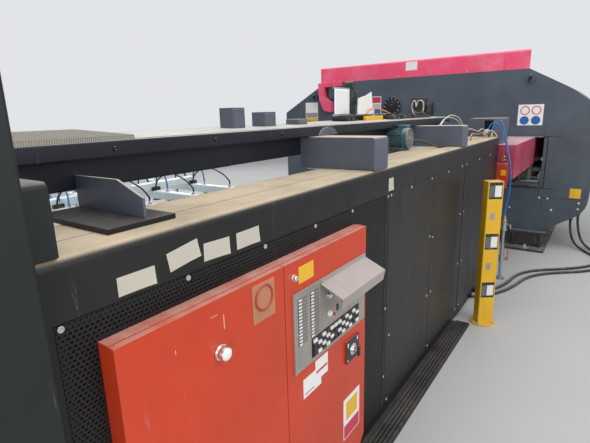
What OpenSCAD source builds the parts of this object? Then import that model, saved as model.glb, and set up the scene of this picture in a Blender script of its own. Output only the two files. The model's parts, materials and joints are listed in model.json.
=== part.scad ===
// Turret punch press with a bridge frame, a sheet loader and its control cabinet.
// Millimetres. X runs along the sheet carriage, Y along the bridge frame, Z up.
// The origin lies on the floor at the middle of the four foot anchors.

/* [Bridge frame] */
// Thickness of the frame along X
frame_w = 1200; // [1100:10:1300]
// Centre line to the right end
frame_right = 2150; // [2100:10:2300]
// Centre line to the left end
frame_left = 2140; // [2100:10:2300]
// Height of the top face
frame_top = 2150; // [2050:10:2300]
// Height of the underside
frame_base = 215; // [180:5:260]
// Height where the right shoulder starts
right_nose_z = 1680; // [1600:10:1750]
// Height where the left shoulder starts
left_nose_z = 1728; // [1600:10:1800]
// Length of the sloping shoulders along Y
shoulder_run = 740; // [650:10:800]
// Run of the slanted heel along Y
heel_run = 450; // [350:10:500]
// Rise of the slanted heel
heel_rise = 280; // [200:10:320]
// Radius of the heel corner
heel_r = 270; // [150:10:300]
// Centre line to the right side of the throat
throat_right = 1680; // [1640:10:1700]
// Centre line to the left side of the throat
throat_left = 1710; // [1650:10:1750]
// Height of the throat floor
throat_floor = 750; // [720:5:770]
// Height of the throat roof
throat_roof = 1370; // [1365:5:1450]
// Radius of the throat corners
throat_r = 50; // [20:5:80]

/* [Frame feet] */
// Centre line to the middle of each foot
foot_y = 1565; // [1500:5:1600]
// Width of a foot along Y
foot_w = 420; // [300:10:460]
// Half length of a foot plate along X
foot_half = 830; // [800:10:900]
// Thickness of the foot plates
foot_t = 25; // [15:1:35]
// Half distance between anchor holes along X
anchor_x = 775; // [740:5:790]
// Diameter of an anchor hole
anchor_d = 33; // [24:1:40]

/* [Top covers] */
// Height of the red top covers
cover_h = 220; // [190:5:260]
// Right end of the covers from the centre line
cover_right = 1410; // [1350:10:1420]
// Left end of the covers from the centre line
cover_left = 1460; // [1400:10:1500]
// Joint between the right end cover and the middle one
cover_joint_right = 1135; // [1000:5:1300]
// Joint between the middle cover and the left end one
cover_joint_left = 1180; // [1100:5:1300]
// Sheet thickness of covers and guards
sheet_t = 4; // [2:0.5:5]
// Corner radius of the covers
cover_r = 30; // [12:2:50]
// Gap between neighbouring covers
cover_gap = 4; // [2:1:8]
// Depth of the side guard out from the frame
guard_depth = 90; // [60:5:120]

/* [Turret] */
// Height of the sheet above the floor
pass_z = 1000; // [990:1:1005]
// Radius of the turret discs
turret_r = 460; // [450:5:470]
// Radius of the circle that the striker works on
track_r = 400; // [380:5:405]
// Radius of the circle of small tools
inner_track_r = 300; // [280:5:310]
// Thickness of the upper disc
upper_t = 70; // [50:5:80]
// Thickness of the lower disc
lower_t = 65; // [50:5:70]
// Sheet gap between die faces and the upper disc
sheet_gap = 60; // [50:2:70]
// Stations on the outer circle
outer_stations = 20; // [16:1:20]
// Stations on the inner circle
inner_stations = 16; // [8:1:18]
// Diameter of the turret shafts
shaft_d = 120; // [90:5:140]
// Diameter of the ram rod
ram_d = 90; // [70:5:110]
// Outer diameter of the ram cylinder
cylinder_d = 200; // [160:5:230]
// Gap between the striker head and the punch heads
striker_gap = 37; // [30:1:45]
// Running clearance of pins, shafts and tools
run_gap = 0.3; // [0.2:0.05:0.5]

/* [Sheet carriage] */
// Stroke of the carriage along Y
y_stroke = 1270; // [1200:10:1280]
// Stroke of the cross slide to either side
x_stroke = 915; // [800:5:930]
// Right side of the carriage cover from the centre line
carriage_right = 1540; // [1530:5:1560]
// Width of the carriage cover
carriage_w = 480; // [470:5:500]
// Half length of the carriage cover
carriage_half = 1920; // [1900:5:1925]
// Underside of the carriage cover
carriage_z0 = 1030; // [1024:1:1040]
// Top of the carriage cover
carriage_z1 = 1360; // [1330:5:1360]
// Height of the carriage beam
beam_h = 190; // [150:5:200]
// Half length of the cross slide
slide_half = 940; // [900:5:950]
// Reach of the workholders in front of the carriage
clamp_reach = 150; // [140:5:160]
// Distance between workholders
clamp_pitch = 700; // [500:10:800]
// Width of a workholder
clamp_w = 90; // [70:5:110]
// Free strip between the workholders and the punch centre
dead_zone = 70; // [60:5:90]
// Half width of the fixed table
table_half = 380; // [340:5:385]
// Depth of the side tables along Y
side_table_d = 1270; // [1000:10:1290]
// Width of the side tables along X
side_table_w = 1200; // [800:10:1200]
// Height of the brush strips
brush_h = 20; // [12:1:22]
// Distance between brush strips
brush_pitch = 85; // [60:5:120]
// Half distance between the carriage rails
rail_x = 450; // [430:5:470]
// Width of a carriage rail
rail_w = 35; // [25:1:45]
// Diameter of the carriage screw
screw_d = 40; // [25:1:50]

/* [Sheet loader] */
// Near end of the loader along X
loader_x0 = -6330; // [-6400:1:-6300]
// Far end of the loader along X
loader_x1 = -1970; // [-2100:1:-1968]
// Front face of the loader along Y
loader_front = -1393; // [-1420:1:-1380]
// Depth of the loader housing
loader_d = 293; // [280:1:330]
// Height of the loader housing
loader_h = 1438; // [1400:1:1450]
// Height of the seam under the top band
band_z = 1306; // [1250:1:1320]
// Lower edge of the front panels
panel_z0 = 115; // [80:5:150]
// Joint between the perforated panel and the plain ones
panel_joint_a = -4600; // [-4800:5:-4500]
// Middle joint of the plain panels
panel_joint_b = -3910; // [-4100:5:-3800]
// Last joint of the plain panels
panel_joint_c = -3180; // [-3400:5:-3000]
// Thickness of the front panels
panel_t = 3; // [2:0.5:5]
// Height of the blocks that carry the beam
block_h = 152; // [130:1:160]
// Length of a block along X
block_w = 150; // [120:5:200]
// Front side of the loader beam
beam_front = -1040; // [-1050:5:-1030]
// Width of the loader beam
beam_w = 370; // [340:5:400]
// Thickness of the cap of the loader beam
beam_cap = 50; // [40:1:60]
// Depth of the skirt under the cap
beam_skirt = 90; // [70:5:110]
// Far end of the loader beam
beam_x1 = -2410; // [-2600:5:-2300]
// Length of the ribbed cover on the beam
bellows_len = 620; // [400:10:700]
// Distance between the ribs of that cover
rib_pitch = 15; // [12:1:30]

/* [Suction frame] */
// Middle of the suction frame along X
suction_x = -5130; // [-5200:10:-4900]
// Middle of the suction frame along Y
suction_y = 180; // [100:10:250]
// Length of the suction frame along X
suction_len = 1330; // [1200:5:1600]
// Length of its cross arms along Y
suction_w = 900; // [700:10:1000]
// Height of the cross arms
suction_z = 1190; // [1150:5:1220]
// Number of cross arms
suction_arms = 5; // [3:1:6]
// Downward stroke of the suction frame
lift_stroke = 150; // [100:10:180]
// Side of the square tubes
tube_w = 50; // [40:1:60]

/* [Control cabinet] */
// Distance of the cabinet from the left end of the loader
cabinet_in = 175; // [150:1:200]
// Length of the cabinet along X
cabinet_w = 1185; // [1100:5:1250]
// Lower edge of the cabinet
cabinet_z0 = 150; // [120:1:200]
// Upper edge of the cabinet
cabinet_z1 = 1235; // [1200:1:1260]
// Distance of the door faces in front of the loader
cabinet_proud = 57; // [45:1:70]
// Depth of the cabinet inside the loader
cabinet_d = 230; // [200:5:250]
// Length of the left door along X
leaf_left = 597; // [560:1:640]
// Thickness of a door
door_t = 20; // [15:1:25]
// Chamfer at the lower right corner
cabinet_chamfer = 60; // [20:5:90]
// Lower edge of the control panel
panel_low = 820; // [800:1:840]
// Upper edge of the control panel
panel_high = 1120; // [1110:1:1150]

/* [Posts and floor] */
// Height of the light barrier post
post_h = 1170; // [1000:10:1300]
// Width of its face
post_w = 122; // [100:1:140]
// Depth of the post
post_d = 92; // [70:1:110]
// Turn of the post about Z
post_turn = 36.5; // [0:0.5:60]
// Height of the lowest light window
window_z = 300; // [250:10:350]
// Distance between light windows
window_pitch = 400; // [300:10:420]
// Height of a light window
window_h = 128; // [90:2:150]
// Height of the end column
column_h = 2050; // [1900:10:2200]
// Side of the end column
column_w = 150; // [120:5:180]
// Depth of the end column along Y
column_t = 47; // [40:1:60]
// Diameter of the power cables
cable_d = 28; // [20:1:30]
// Diameter of the air hoses
hose_d = 12; // [8:1:16]

/* [Hidden] */
$fn = 48;
x_face = frame_w/2;
jaw_tip = -carriage_right + carriage_w + clamp_reach;
punch_y = jaw_tip + y_stroke + dead_zone;
turret_y = punch_y + track_r;
upper_z0 = pass_z + sheet_gap;
upper_z1 = upper_z0 + upper_t;
lower_z1 = pass_z - 35;
lower_z0 = lower_z1 - lower_t;
head_z = upper_z1 + 95;
striker_z = head_z + striker_gap;
table_z = pass_z - 10 - brush_h;
carriage_left = -carriage_right + carriage_w;
beam_z0 = carriage_z0 + 10;
beam_z1 = beam_z0 + beam_h;
beam_left = carriage_left - 40;
rail_top = throat_floor + 30;
slide_z0 = beam_z0 + 15;
slide_z1 = beam_z1 - 15;
slide_t = 30;
slide_y0 = beam_left + 24;
slide_y1 = slide_y0 + slide_t;
screw_x = -250;
screw_z = throat_floor + 80;
loader_back = loader_front + loader_d;
beam_z = loader_h + block_h;
sheet_x0 = loader_x0 + 92;
cabinet_x0 = loader_x0 + cabinet_in;
cabinet_x1 = cabinet_x0 + cabinet_w;
door_seam = cabinet_x0 + leaf_left;
panel_x0 = door_seam + 44;
panel_x1 = cabinet_x1 - 20;
door_y = loader_front - cabinet_proud;
body_y = door_y + door_t;
panel_y = door_y - 6;
post_x = -3045;
post_y = -1577;
outer_sizes = [30, 18, 24, 18];
inner_size = 12;
lift_x = suction_x;
lift_rod_x = 40;
lift_rod_d = 40;
arm_z = beam_z - 140;
plinth_in = 25;
plinth_y = loader_front + panel_t + plinth_in;

// Air supply riser, and the routes of the three free lines from their first end to their last.
riser_x = loader_x1 + 25;
riser_y = -1500;
riser_top = 640;
valve_z = 220;
hose_start = [-2010, -1330, loader_h + 8];
hose_route = [hose_start, hose_start + [0, 0, 54], [-2008, -1342, 1552], [-2005, -1364, 1586],
    [-2002, -1393, 1590], [-1999, -1420, 1554], [-1997, -1440, 1490], [-1994, -1466, 1390],
    [-1991, -1496, 1265], [-1988, -1520, 1130], [-1984, -1530, 1000], [-1976, -1524, 880],
    [-1960, -1510, 775], [riser_x, riser_y, 700], [riser_x, riser_y, riser_top]];
cable_z = 15;
entry_a = -2440;
entry_b = -2590;
cable_route_a = [[-300, -1990, 350], [-300, -1990, 290], [-305, -2000, 210], [-330, -2020, 130],
    [-375, -2055, 70], [-440, -2105, 32], [-560, -2190, cable_z], [-700, -2270, cable_z],
    [-850, -2310, cable_z], [-1010, -2290, cable_z], [-1150, -2215, cable_z], [-1270, -2110, cable_z],
    [-1380, -1985, cable_z], [-1480, -1860, cable_z], [-1590, -1750, cable_z], [-1720, -1670, cable_z],
    [-1870, -1625, cable_z], [-2030, -1600, cable_z], [-2180, -1565, cable_z], [-2300, -1515, cable_z],
    [-2390, -1455, cable_z], [-2432, -1405, cable_z], [entry_a, plinth_y - 14, cable_z],
    [entry_a, plinth_y, cable_z]];
cable_route_b = [[-200, -2060, 400], [-200, -2060, 330], [-206, -2072, 240], [-235, -2095, 150],
    [-290, -2130, 80], [-370, -2185, 34], [-500, -2270, cable_z], [-660, -2350, cable_z],
    [-850, -2395, cable_z], [-1050, -2375, cable_z], [-1220, -2290, cable_z], [-1360, -2165, cable_z],
    [-1480, -2020, cable_z], [-1600, -1885, cable_z], [-1740, -1780, cable_z], [-1900, -1715, cable_z],
    [-2080, -1675, cable_z], [-2250, -1625, cable_z], [-2400, -1555, cable_z], [-2520, -1470, cable_z],
    [-2578, -1410, cable_z], [entry_b, plinth_y - 14, cable_z], [entry_b, plinth_y, cable_z]];

steel_grey = [0.30, 0.31, 0.34];
frame_grey = [0.22, 0.23, 0.27];
near_black = [0.12, 0.12, 0.13];
cover_red = [0.80, 0.16, 0.27];
cabinet_orange = [0.87, 0.25, 0.12];
bright_steel = [0.72, 0.73, 0.75];
tool_steel = [0.52, 0.53, 0.55];
light_grey = [0.66, 0.66, 0.64];
post_yellow = [0.93, 0.72, 0.08];
pale_blue = [0.62, 0.74, 0.82];

// Outlines are lists of [x, y, radius]; each corner is rounded by its own radius.
function unit(v) = v / norm(v);
function corner(a, b, c, n) =
    let (p = [b[0], b[1]], u = unit([a[0], a[1]] - p), w = unit([c[0], c[1]] - p))
    b[2] <= 0 ? [p] :
    let (half = acos(u * w) / 2, reach = b[2] / tan(half), o = p + unit(u + w) * (b[2] / sin(half)),
        s = p + u * reach - o, turn = (180 - 2 * half) * (cross(u, w) < 0 ? 1 : -1),
        a0 = atan2(s[1], s[0]))
    [for (i = [0:n]) o + b[2] * [cos(a0 + turn * i / n), sin(a0 + turn * i / n)]];
function rounded(p, n = 5) =
    [for (i = [0:len(p) - 1]) each corner(p[(i + len(p) - 1) % len(p)], p[i], p[(i + 1) % len(p)], n)];
function rect_pts(x0, x1, y0, y1, r) = [[x0, y0, r], [x1, y0, r], [x1, y1, r], [x0, y1, r]];

// A tube along a route: rings of sides square to the path.
function ring_dir(p, i) = unit(p[min(i + 1, len(p) - 1)] - p[max(i - 1, 0)]);
function ring_side(t) = abs(t[2]) > 0.95 ? unit(cross(t, [0, 1, 0])) : unit(cross(t, [0, 0, 1]));
function ring(p, i, r, n) = let (t = ring_dir(p, i), s = ring_side(t), q = cross(s, t))
    [for (k = [0:n - 1]) p[i] + r * (cos(360 * k / n) * s + sin(360 * k / n) * q)];

module along_x(x0, x1) {
    translate([x0, 0, 0]) rotate([90, 0, 90]) linear_extrude(x1 - x0) children();
}
module along_y(y0, y1) {
    translate([0, y1, 0]) rotate([90, 0, 0]) linear_extrude(y1 - y0) children();
}
module along_z(z0, z1) {
    translate([0, 0, z0]) linear_extrude(z1 - z0) children();
}
module block(lo, hi) {
    translate(lo) cube(hi - lo);
}
module rod_z(x, y, z0, z1, d) {
    translate([x, y, z0]) cylinder(h = z1 - z0, d = d);
}
module rod_y(x, z, y0, y1, d) {
    translate([x, y0, z]) rotate([-90, 0, 0]) cylinder(h = y1 - y0, d = d);
}
module rod_x(y, z, x0, x1, d) {
    translate([x0, y, z]) rotate([0, 90, 0]) cylinder(h = x1 - x0, d = d);
}
module tube_path(p, d, n = 8) {
    polyhedron(
        points = [for (i = [0:len(p) - 1]) each ring(p, i, d / 2, n)],
        faces = concat([[for (k = [0:n - 1]) k]],
            [for (i = [0:len(p) - 2]) for (k = [0:n - 1])
                [i * n + k, (i + 1) * n + k, (i + 1) * n + (k + 1) % n, i * n + (k + 1) % n]],
            [[for (k = [n - 1:-1:0]) (len(p) - 1) * n + k]]));
}
module both_sides() {
    children();
    mirror([1, 0, 0]) children();
}

function frame_outline() = rounded([
    [-frame_right + heel_run, frame_base, 60],
    [frame_left - heel_run, frame_base, 60],
    [frame_left, frame_base + heel_rise, heel_r],
    [frame_left, left_nose_z, 30],
    [frame_left - shoulder_run, frame_top, 60],
    [-frame_right + shoulder_run, frame_top, 60],
    [-frame_right + 0.35 * shoulder_run, (right_nose_z + frame_top) / 2 - 25, 1500],
    [-frame_right, right_nose_z, 60],
    [-frame_right, frame_base + heel_rise, heel_r]]);

module bridge_frame() color(frame_grey) difference() {
    along_x(-x_face, x_face) difference() {
        polygon(frame_outline());
        polygon(rounded(rect_pts(-throat_right, throat_left, throat_floor, throat_roof, throat_r)));
    }
    rod_z(0, punch_y, throat_roof - 1, frame_top + 1, cylinder_d + 2 * run_gap);
    rod_z(0, turret_y, throat_roof - 1, frame_top + 1, shaft_d + 20);
    rod_z(0, punch_y, frame_base - 1, throat_floor + 1, cylinder_d - 60);
    rod_z(0, turret_y, frame_base - 1, throat_floor + 1, shaft_d + 20);
}

module frame_foot(y) {
    x_top = foot_half - 130;
    difference() {
        block([-foot_half, y - foot_w/2, 0], [foot_half, y + foot_w/2, foot_t]);
        for (x = [-anchor_x, anchor_x]) rod_z(x, y, -1, foot_t + 1, anchor_d);
    }
    block([-x_top, y - foot_w/2 + 10, frame_base - foot_t], [x_top, y + foot_w/2 - 10, frame_base]);
    for (s = [-1, 1]) {
        block([-x_top, y + s * foot_w * 0.35 - foot_t/2, foot_t],
            [x_top, y + s * foot_w * 0.35 + foot_t/2, frame_base - foot_t]);
        for (x = [-x_top * 0.95, x_top * 0.95])
            block([x - foot_t/2, y - foot_w * 0.35, foot_t], [x + foot_t/2, y + foot_w * 0.35, frame_base - foot_t]);
    }
}
module frame_feet() color(near_black) {
    frame_foot(-foot_y);
    frame_foot(foot_y);
}

// One cover: a folded hood that is open below and closed at its outer end.
module hood(y0, y1, wall0, wall1) {
    difference() {
        along_y(y0, y1) polygon(rounded([[-x_face, frame_top, 0], [x_face, frame_top, 0],
            [x_face, frame_top + cover_h, cover_r], [-x_face, frame_top + cover_h, cover_r]]));
        along_y(y0 + wall0, y1 - wall1) polygon(rounded([
            [-x_face + sheet_t, frame_top - 1, 0], [x_face - sheet_t, frame_top - 1, 0],
            [x_face - sheet_t, frame_top + cover_h - sheet_t, cover_r - sheet_t],
            [-x_face + sheet_t, frame_top + cover_h - sheet_t, cover_r - sheet_t]]));
    }
}
module top_covers() color(cover_red) {
    hood(-cover_right, -cover_joint_right - cover_gap/2, sheet_t, -1);
    hood(-cover_joint_right + cover_gap/2, cover_joint_left - cover_gap/2, -1, -1);
    hood(cover_joint_left + cover_gap/2, cover_left, -1, sheet_t);
}

// Hooked guard on the near side below the left end of the covers.
module side_guard() color(cover_red) difference() {
    y1 = cover_left;
    z1 = frame_top - 2;
    along_x(-x_face - guard_depth, -x_face) polygon(rounded([
        [y1 - 380, z1, 0], [y1 - 380, z1 - 62, 0], [y1 - 108, z1 - 62, 0], [y1 - 112, z1 - 215, 90],
        [y1 - 225, z1 - 283, 20], [y1 - 225, z1 - 428, 12], [y1 - 100, z1 - 412, 60],
        [y1 - 15, z1 - 245, 220], [y1, z1 - 60, 0], [y1, z1, 0]]));
    along_x(-x_face - guard_depth + sheet_t, -x_face + 1) polygon(rounded([
        [y1 - 376, z1 - 4, 0], [y1 - 376, z1 - 58, 0], [y1 - 104, z1 - 58, 0], [y1 - 108, z1 - 217, 92],
        [y1 - 221, z1 - 286, 20], [y1 - 221, z1 - 424, 10], [y1 - 103, z1 - 408, 56],
        [y1 - 19, z1 - 246, 216], [y1 - 4, z1 - 60, 0], [y1 - 4, z1 - 4, 0]]));
}

// Raised cover and bolted access plate on the right leg.
module leg_cover_plates() color(frame_grey) {
    leg0 = -frame_right + 30;
    leg1 = -throat_right + 40;
    along_x(-x_face - 7, -x_face)
        polygon(rounded(rect_pts(leg0, leg1, frame_base + heel_rise + 150, throat_roof + 110, 25)));
    along_x(-x_face - 5, -x_face)
        polygon(rounded(rect_pts(leg0 + 60, leg1 - 40, frame_base + heel_rise + 5, frame_base + heel_rise + 115, 6)));
    for (y = [leg0 + 76, leg0 + 245, leg1 - 56], z = [frame_base + heel_rise + 20, frame_base + heel_rise + 100])
        rod_x(y, z, -x_face - 10, -x_face - 5, 14);
}

// Bolted flange, looped line unit, small valve and lifting bosses on the near side, and the
// glands of the two power cables under the right heel.
module frame_fittings() color(near_black) {
    flange_y = 285;
    flange_z = 1772;
    difference() {
        rod_x(flange_y, flange_z, -x_face - 22, -x_face, 270);
        rod_x(flange_y, flange_z, -x_face - 23, -x_face - 8, 200);
    }
    for (a = [22.5:45:337.5])
        rod_x(flange_y + 84 * cos(a), flange_z + 84 * sin(a), -x_face - 20, -x_face - 8, 20);
    block([-x_face - 30, -200, 1640], [-x_face, -10, 1868]);
    translate([-x_face - 39, -105, 1755]) rotate([0, 90, 0]) rotate_extrude($fn = 32)
        translate([80, 0]) circle(d = 24, $fn = 14);
    block([-x_face - 55, -290, 1650], [-x_face, -222, 1795]);
    block([-x_face - 62, cover_left - 255, frame_top - 235], [-x_face, cover_left - 175, frame_top - 70]);
    // Seal plate between the carriage and the right wall of the throat, on the far side
    along_x(x_face - 45, x_face - 5) polygon([[-throat_right, 1000], [-carriage_right - 8, 1000],
        [-carriage_right - 8, throat_roof - 4], [-throat_right + throat_r + 5, throat_roof - 4],
        [-throat_right, throat_roof - throat_r - 8]]);
    for (p = [[-1430, 2040], [1560, 1950]]) difference() {
        rod_x(p[0], p[1], -x_face - 40, -x_face, 90);
        rod_x(p[0], p[1], -x_face - 41, -x_face - 12, 44);
    }
    for (p = [cable_route_a[0], cable_route_b[0]]) difference() {
        union() {
            rod_z(p[0], p[1], p[2], p[2] + 24, cable_d + 20);
            rod_z(p[0], p[1], p[2] + 24, p[2] + 140, cable_d + 8);
        }
        along_x(-x_face, x_face) polygon(frame_outline());
    }
}

module ram_cylinder() color(tool_steel) difference() {
    union() {
        rod_z(0, punch_y, throat_roof, frame_top, cylinder_d);
        rod_z(0, punch_y, frame_top, frame_top + 35, cylinder_d + 100);
        rod_z(0, punch_y, frame_top + 35, frame_top + 90, cylinder_d - 20);
        block([-90, punch_y - 80, frame_top + 90], [90, punch_y + 80, frame_top + 180]);
        rod_z(0, punch_y, throat_roof - 30, throat_roof, cylinder_d + 80);
        for (a = [30:60:330])
            rod_z((cylinder_d/2 + 22) * cos(a), punch_y + (cylinder_d/2 + 22) * sin(a),
                throat_roof - 42, throat_roof - 30, 24);
    }
    rod_z(0, punch_y, throat_roof - 31, throat_roof + 560, ram_d + 2 * run_gap);
}
module striker() color(bright_steel) {
    rod_z(0, punch_y, striker_z + 28, throat_roof + 500, ram_d);
    translate([0, punch_y, striker_z]) cylinder(h = 28, d1 = ram_d + 14, d2 = ram_d + 30);
}

module turret_housing(z0, z1, flange_z) difference() {
    union() {
        rod_z(0, turret_y, z0, z1, shaft_d + 110);
        rod_z(0, turret_y, flange_z, flange_z + 22, shaft_d + 200);
        for (a = [0:60:300])
            rod_z((shaft_d/2 + 78) * cos(a), turret_y + (shaft_d/2 + 78) * sin(a), flange_z - 8, flange_z + 30, 22);
    }
    rod_z(0, turret_y, z0 - 1, z1 + 1, shaft_d + 2 * run_gap);
}
module upper_bearing() color(steel_grey) intersection() {
    turret_housing(throat_roof - 120, throat_roof, throat_roof - 22);
    block([-300, turret_y - 300, 0], [300, turret_y + 300, throat_roof]);
}
module lower_bearing() color(steel_grey) intersection() {
    turret_housing(throat_floor, throat_floor + 100, throat_floor);
    block([-300, turret_y - 300, throat_floor], [300, turret_y + 300, pass_z]);
}

function outer_size(i) = outer_sizes[i % len(outer_sizes)];
module at_outer(i) translate([0, turret_y, 0]) rotate([0, 0, -90 + 360 * i / outer_stations])
    translate([track_r, 0, 0]) children();
module at_inner(i) translate([0, turret_y, 0]) rotate([0, 0, -90 + 360 * i / inner_stations])
    translate([inner_track_r, 0, 0]) children();

module upper_turret() color(steel_grey) difference() {
    union() {
        rod_z(0, turret_y, upper_z0, upper_z1, 2 * turret_r);
        rod_z(0, turret_y, upper_z1, upper_z1 + 60, shaft_d + 120);
        rod_z(0, turret_y, upper_z1 + 60, frame_top + 40, shaft_d);
    }
    for (i = [0:outer_stations - 1])
        at_outer(i) rod_z(0, 0, upper_z0 - 1, upper_z1 + 1, 2 * (outer_size(i) + run_gap));
    for (i = [0:inner_stations - 1])
        at_inner(i) rod_z(0, 0, upper_z0 - 1, upper_z1 + 1, 2 * (inner_size + run_gap));
    translate([0, turret_y, upper_z0 + upper_t/2]) rotate_extrude($fn = 96)
        translate([turret_r - 6, -8]) square([12, 16]);
}
module punch(r) {
    rod_z(0, 0, upper_z0 - 12, upper_z1, 2 * r);
    rod_z(0, 0, upper_z1, upper_z1 + 12, 2 * r + 12);
    rod_z(0, 0, upper_z1 + 12, head_z - 14, 1.3 * r);
    rod_z(0, 0, head_z - 14, head_z, 1.7 * r);
    for (z = [upper_z1 + 24:16:head_z - 26]) rod_z(0, 0, z, z + 7, 1.75 * r);
}
module punch_tools() color(bright_steel) {
    for (i = [0:outer_stations - 1]) at_outer(i) punch(outer_size(i));
    for (i = [0:inner_stations - 1]) at_inner(i) punch(inner_size);
}
module lower_turret() color(steel_grey) difference() {
    union() {
        rod_z(0, turret_y, lower_z0, lower_z1, 2 * turret_r);
        rod_z(0, turret_y, throat_floor + 115, lower_z0, shaft_d + 120);
        rod_z(0, turret_y, frame_base - 90, lower_z0, shaft_d);
    }
    for (i = [0:outer_stations - 1]) at_outer(i) {
        rod_z(0, 0, lower_z0 - 1, lower_z1 + 1, 1.5 * outer_size(i));
        rod_z(0, 0, lower_z0 + lower_t/2, lower_z1 + 1, 2 * (outer_size(i) + 6 + run_gap));
    }
    for (i = [0:inner_stations - 1]) at_inner(i) {
        rod_z(0, 0, lower_z0 - 1, lower_z1 + 1, 1.5 * inner_size);
        rod_z(0, 0, lower_z0 + lower_t/2, lower_z1 + 1, 2 * (inner_size + 6 + run_gap));
    }
}
module die(r) difference() {
    union() {
        rod_z(0, 0, lower_z0 + lower_t/2, pass_z, 2 * r + 12);
        rod_z(0, 0, lower_z1, lower_z1 + 14, 2 * r + 26);
    }
    rod_z(0, 0, lower_z0, pass_z + 1, 1.2 * r);
}
module die_set() color(bright_steel) {
    for (i = [0:outer_stations - 1]) at_outer(i) die(outer_size(i));
    for (i = [0:inner_stations - 1]) at_inner(i) die(inner_size);
}
// Geared motors on the two turret shafts, one under the top cover, one under the lower beam.
module turret_motors() color(steel_grey) {
    difference() {
        union() {
            rod_z(0, turret_y, frame_top, frame_top + 25, shaft_d + 150);
            rod_z(0, turret_y, frame_top + 25, frame_top + 110, shaft_d + 90);
            rod_z(0, turret_y, frame_top + 110, frame_top + 200, shaft_d + 30);
        }
        rod_z(0, turret_y, frame_top - 1, frame_top + 60, shaft_d + 2 * run_gap);
    }
    difference() {
        union() {
            rod_z(0, turret_y, frame_base - 22, frame_base, shaft_d + 150);
            rod_z(0, turret_y, frame_base - 155, frame_base - 22, shaft_d + 90);
        }
        rod_z(0, turret_y, frame_base - 110, frame_base + 1, shaft_d + 2 * run_gap);
    }
}
module scrap_chute() color(bright_steel) difference() {
    union() {
        rod_z(0, punch_y, frame_base - 25, lower_z0 - 20, cylinder_d - 62);
        rod_z(0, punch_y, throat_floor, throat_floor + 12, cylinder_d - 10);
    }
    rod_z(0, punch_y, frame_base - 26, lower_z0 - 19, cylinder_d - 72);
}

function arc_y(x, r) = sqrt(r * r - x * x);
table_gap_r = turret_r + 15;
module table_half_plate(y0, y1) {
    difference() {
        union() {
            block([-table_half, y0, table_z - 15], [table_half, y1, table_z]);
            for (x = [-table_half, table_half - 6])
                block([x, y0, table_z - 45], [x + 6, y1, table_z - 15]);
        }
        rod_z(0, turret_y, table_z - 50, table_z + 1, 2 * table_gap_r);
    }
}
module center_table() color(steel_grey) {
    front0 = -throat_right + 40;
    back1 = throat_left - 20;
    reach = arc_y(table_half, table_gap_r);
    table_half_plate(front0, turret_y - reach + 1);
    table_half_plate(turret_y + reach - 1, back1);
    for (x = [-150, 110], y = [front0 + 140, front0 + 940, turret_y - 740, back1 - 90])
        block([x, y, throat_floor], [x + 40, y + 40, table_z - 15]);
}
module brush_strips() color(near_black) {
    n = floor((table_half - 30) / brush_pitch);
    for (i = [-n:n]) {
        x = i * brush_pitch;
        edge = arc_y(abs(x) + 10, table_gap_r) + 15;
        block([x - 10, -throat_right + 60, table_z], [x + 10, turret_y - edge, table_z + brush_h]);
        block([x - 10, turret_y + edge, table_z], [x + 10, throat_left - 40, table_z + brush_h]);
    }
}

// Two profiled rails for the saddles and a plain rail along each side of the frame.
module y_rails() color(bright_steel) {
    y1 = -carriage_right + y_stroke + carriage_w;
    for (x = [-rail_x, rail_x])
        block([x - rail_w/2, -throat_right + throat_r + 10, throat_floor], [x + rail_w/2, y1, rail_top]);
    both_sides() along_y(-throat_right + 60, throat_left - 20)
        polygon([[x_face, table_z - 175], [x_face + 20, table_z - 175], [x_face + 80, table_z - 135],
            [x_face + 80, table_z - 120], [x_face, table_z - 120]]);
}
module y_screw() color(bright_steel) {
    y0 = -throat_right + throat_r + 10;
    y1 = -carriage_right + y_stroke + carriage_w - 40;
    rod_y(screw_x, screw_z, y0, y1, screw_d);
    for (y = [y0, y1 - 45]) difference() {
        block([screw_x - 50, y, throat_floor], [screw_x + 50, y + 45, screw_z + 55]);
        rod_y(screw_x, screw_z, y - 1, y + 46, screw_d);
    }
}
nut_y = -carriage_right + 190;
// Nut housing with its belt cover and motor, bolted to the left saddle.
module y_nut_drive() color(steel_grey) {
    difference() {
        union() {
            block([screw_x - 55, nut_y, screw_z - 50], [screw_x + 55, nut_y + 110, screw_z + 50]);
            block([-rail_x + 50, nut_y + 20, screw_z - 30], [screw_x - 55, nut_y + 90, screw_z + 30]);
        }
        rod_y(screw_x, screw_z, nut_y - 1, nut_y + 111, screw_d + 2);
    }
    rod_y(-rail_x + 98, screw_z, nut_y + 88, nut_y + 260, 56);
}

// Box beam with openings in its outer side.
module carriage_beam() color(steel_grey) {
    y0 = -carriage_right + 20;
    difference() {
        block([-carriage_half + 30, y0, beam_z0], [carriage_half - 30, beam_left, beam_z1]);
        block([-carriage_half + 45, y0 + 15, beam_z0 + 15], [carriage_half - 45, beam_left - 15, beam_z1 - 15]);
        for (x = [-carriage_half + 200:400:carriage_half - 200])
            along_y(y0 - 1, y0 + 16) polygon(rounded(rect_pts(x - 130, x + 130, beam_z0 + 50, beam_z1 - 50, 30)));
    }
}
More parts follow.
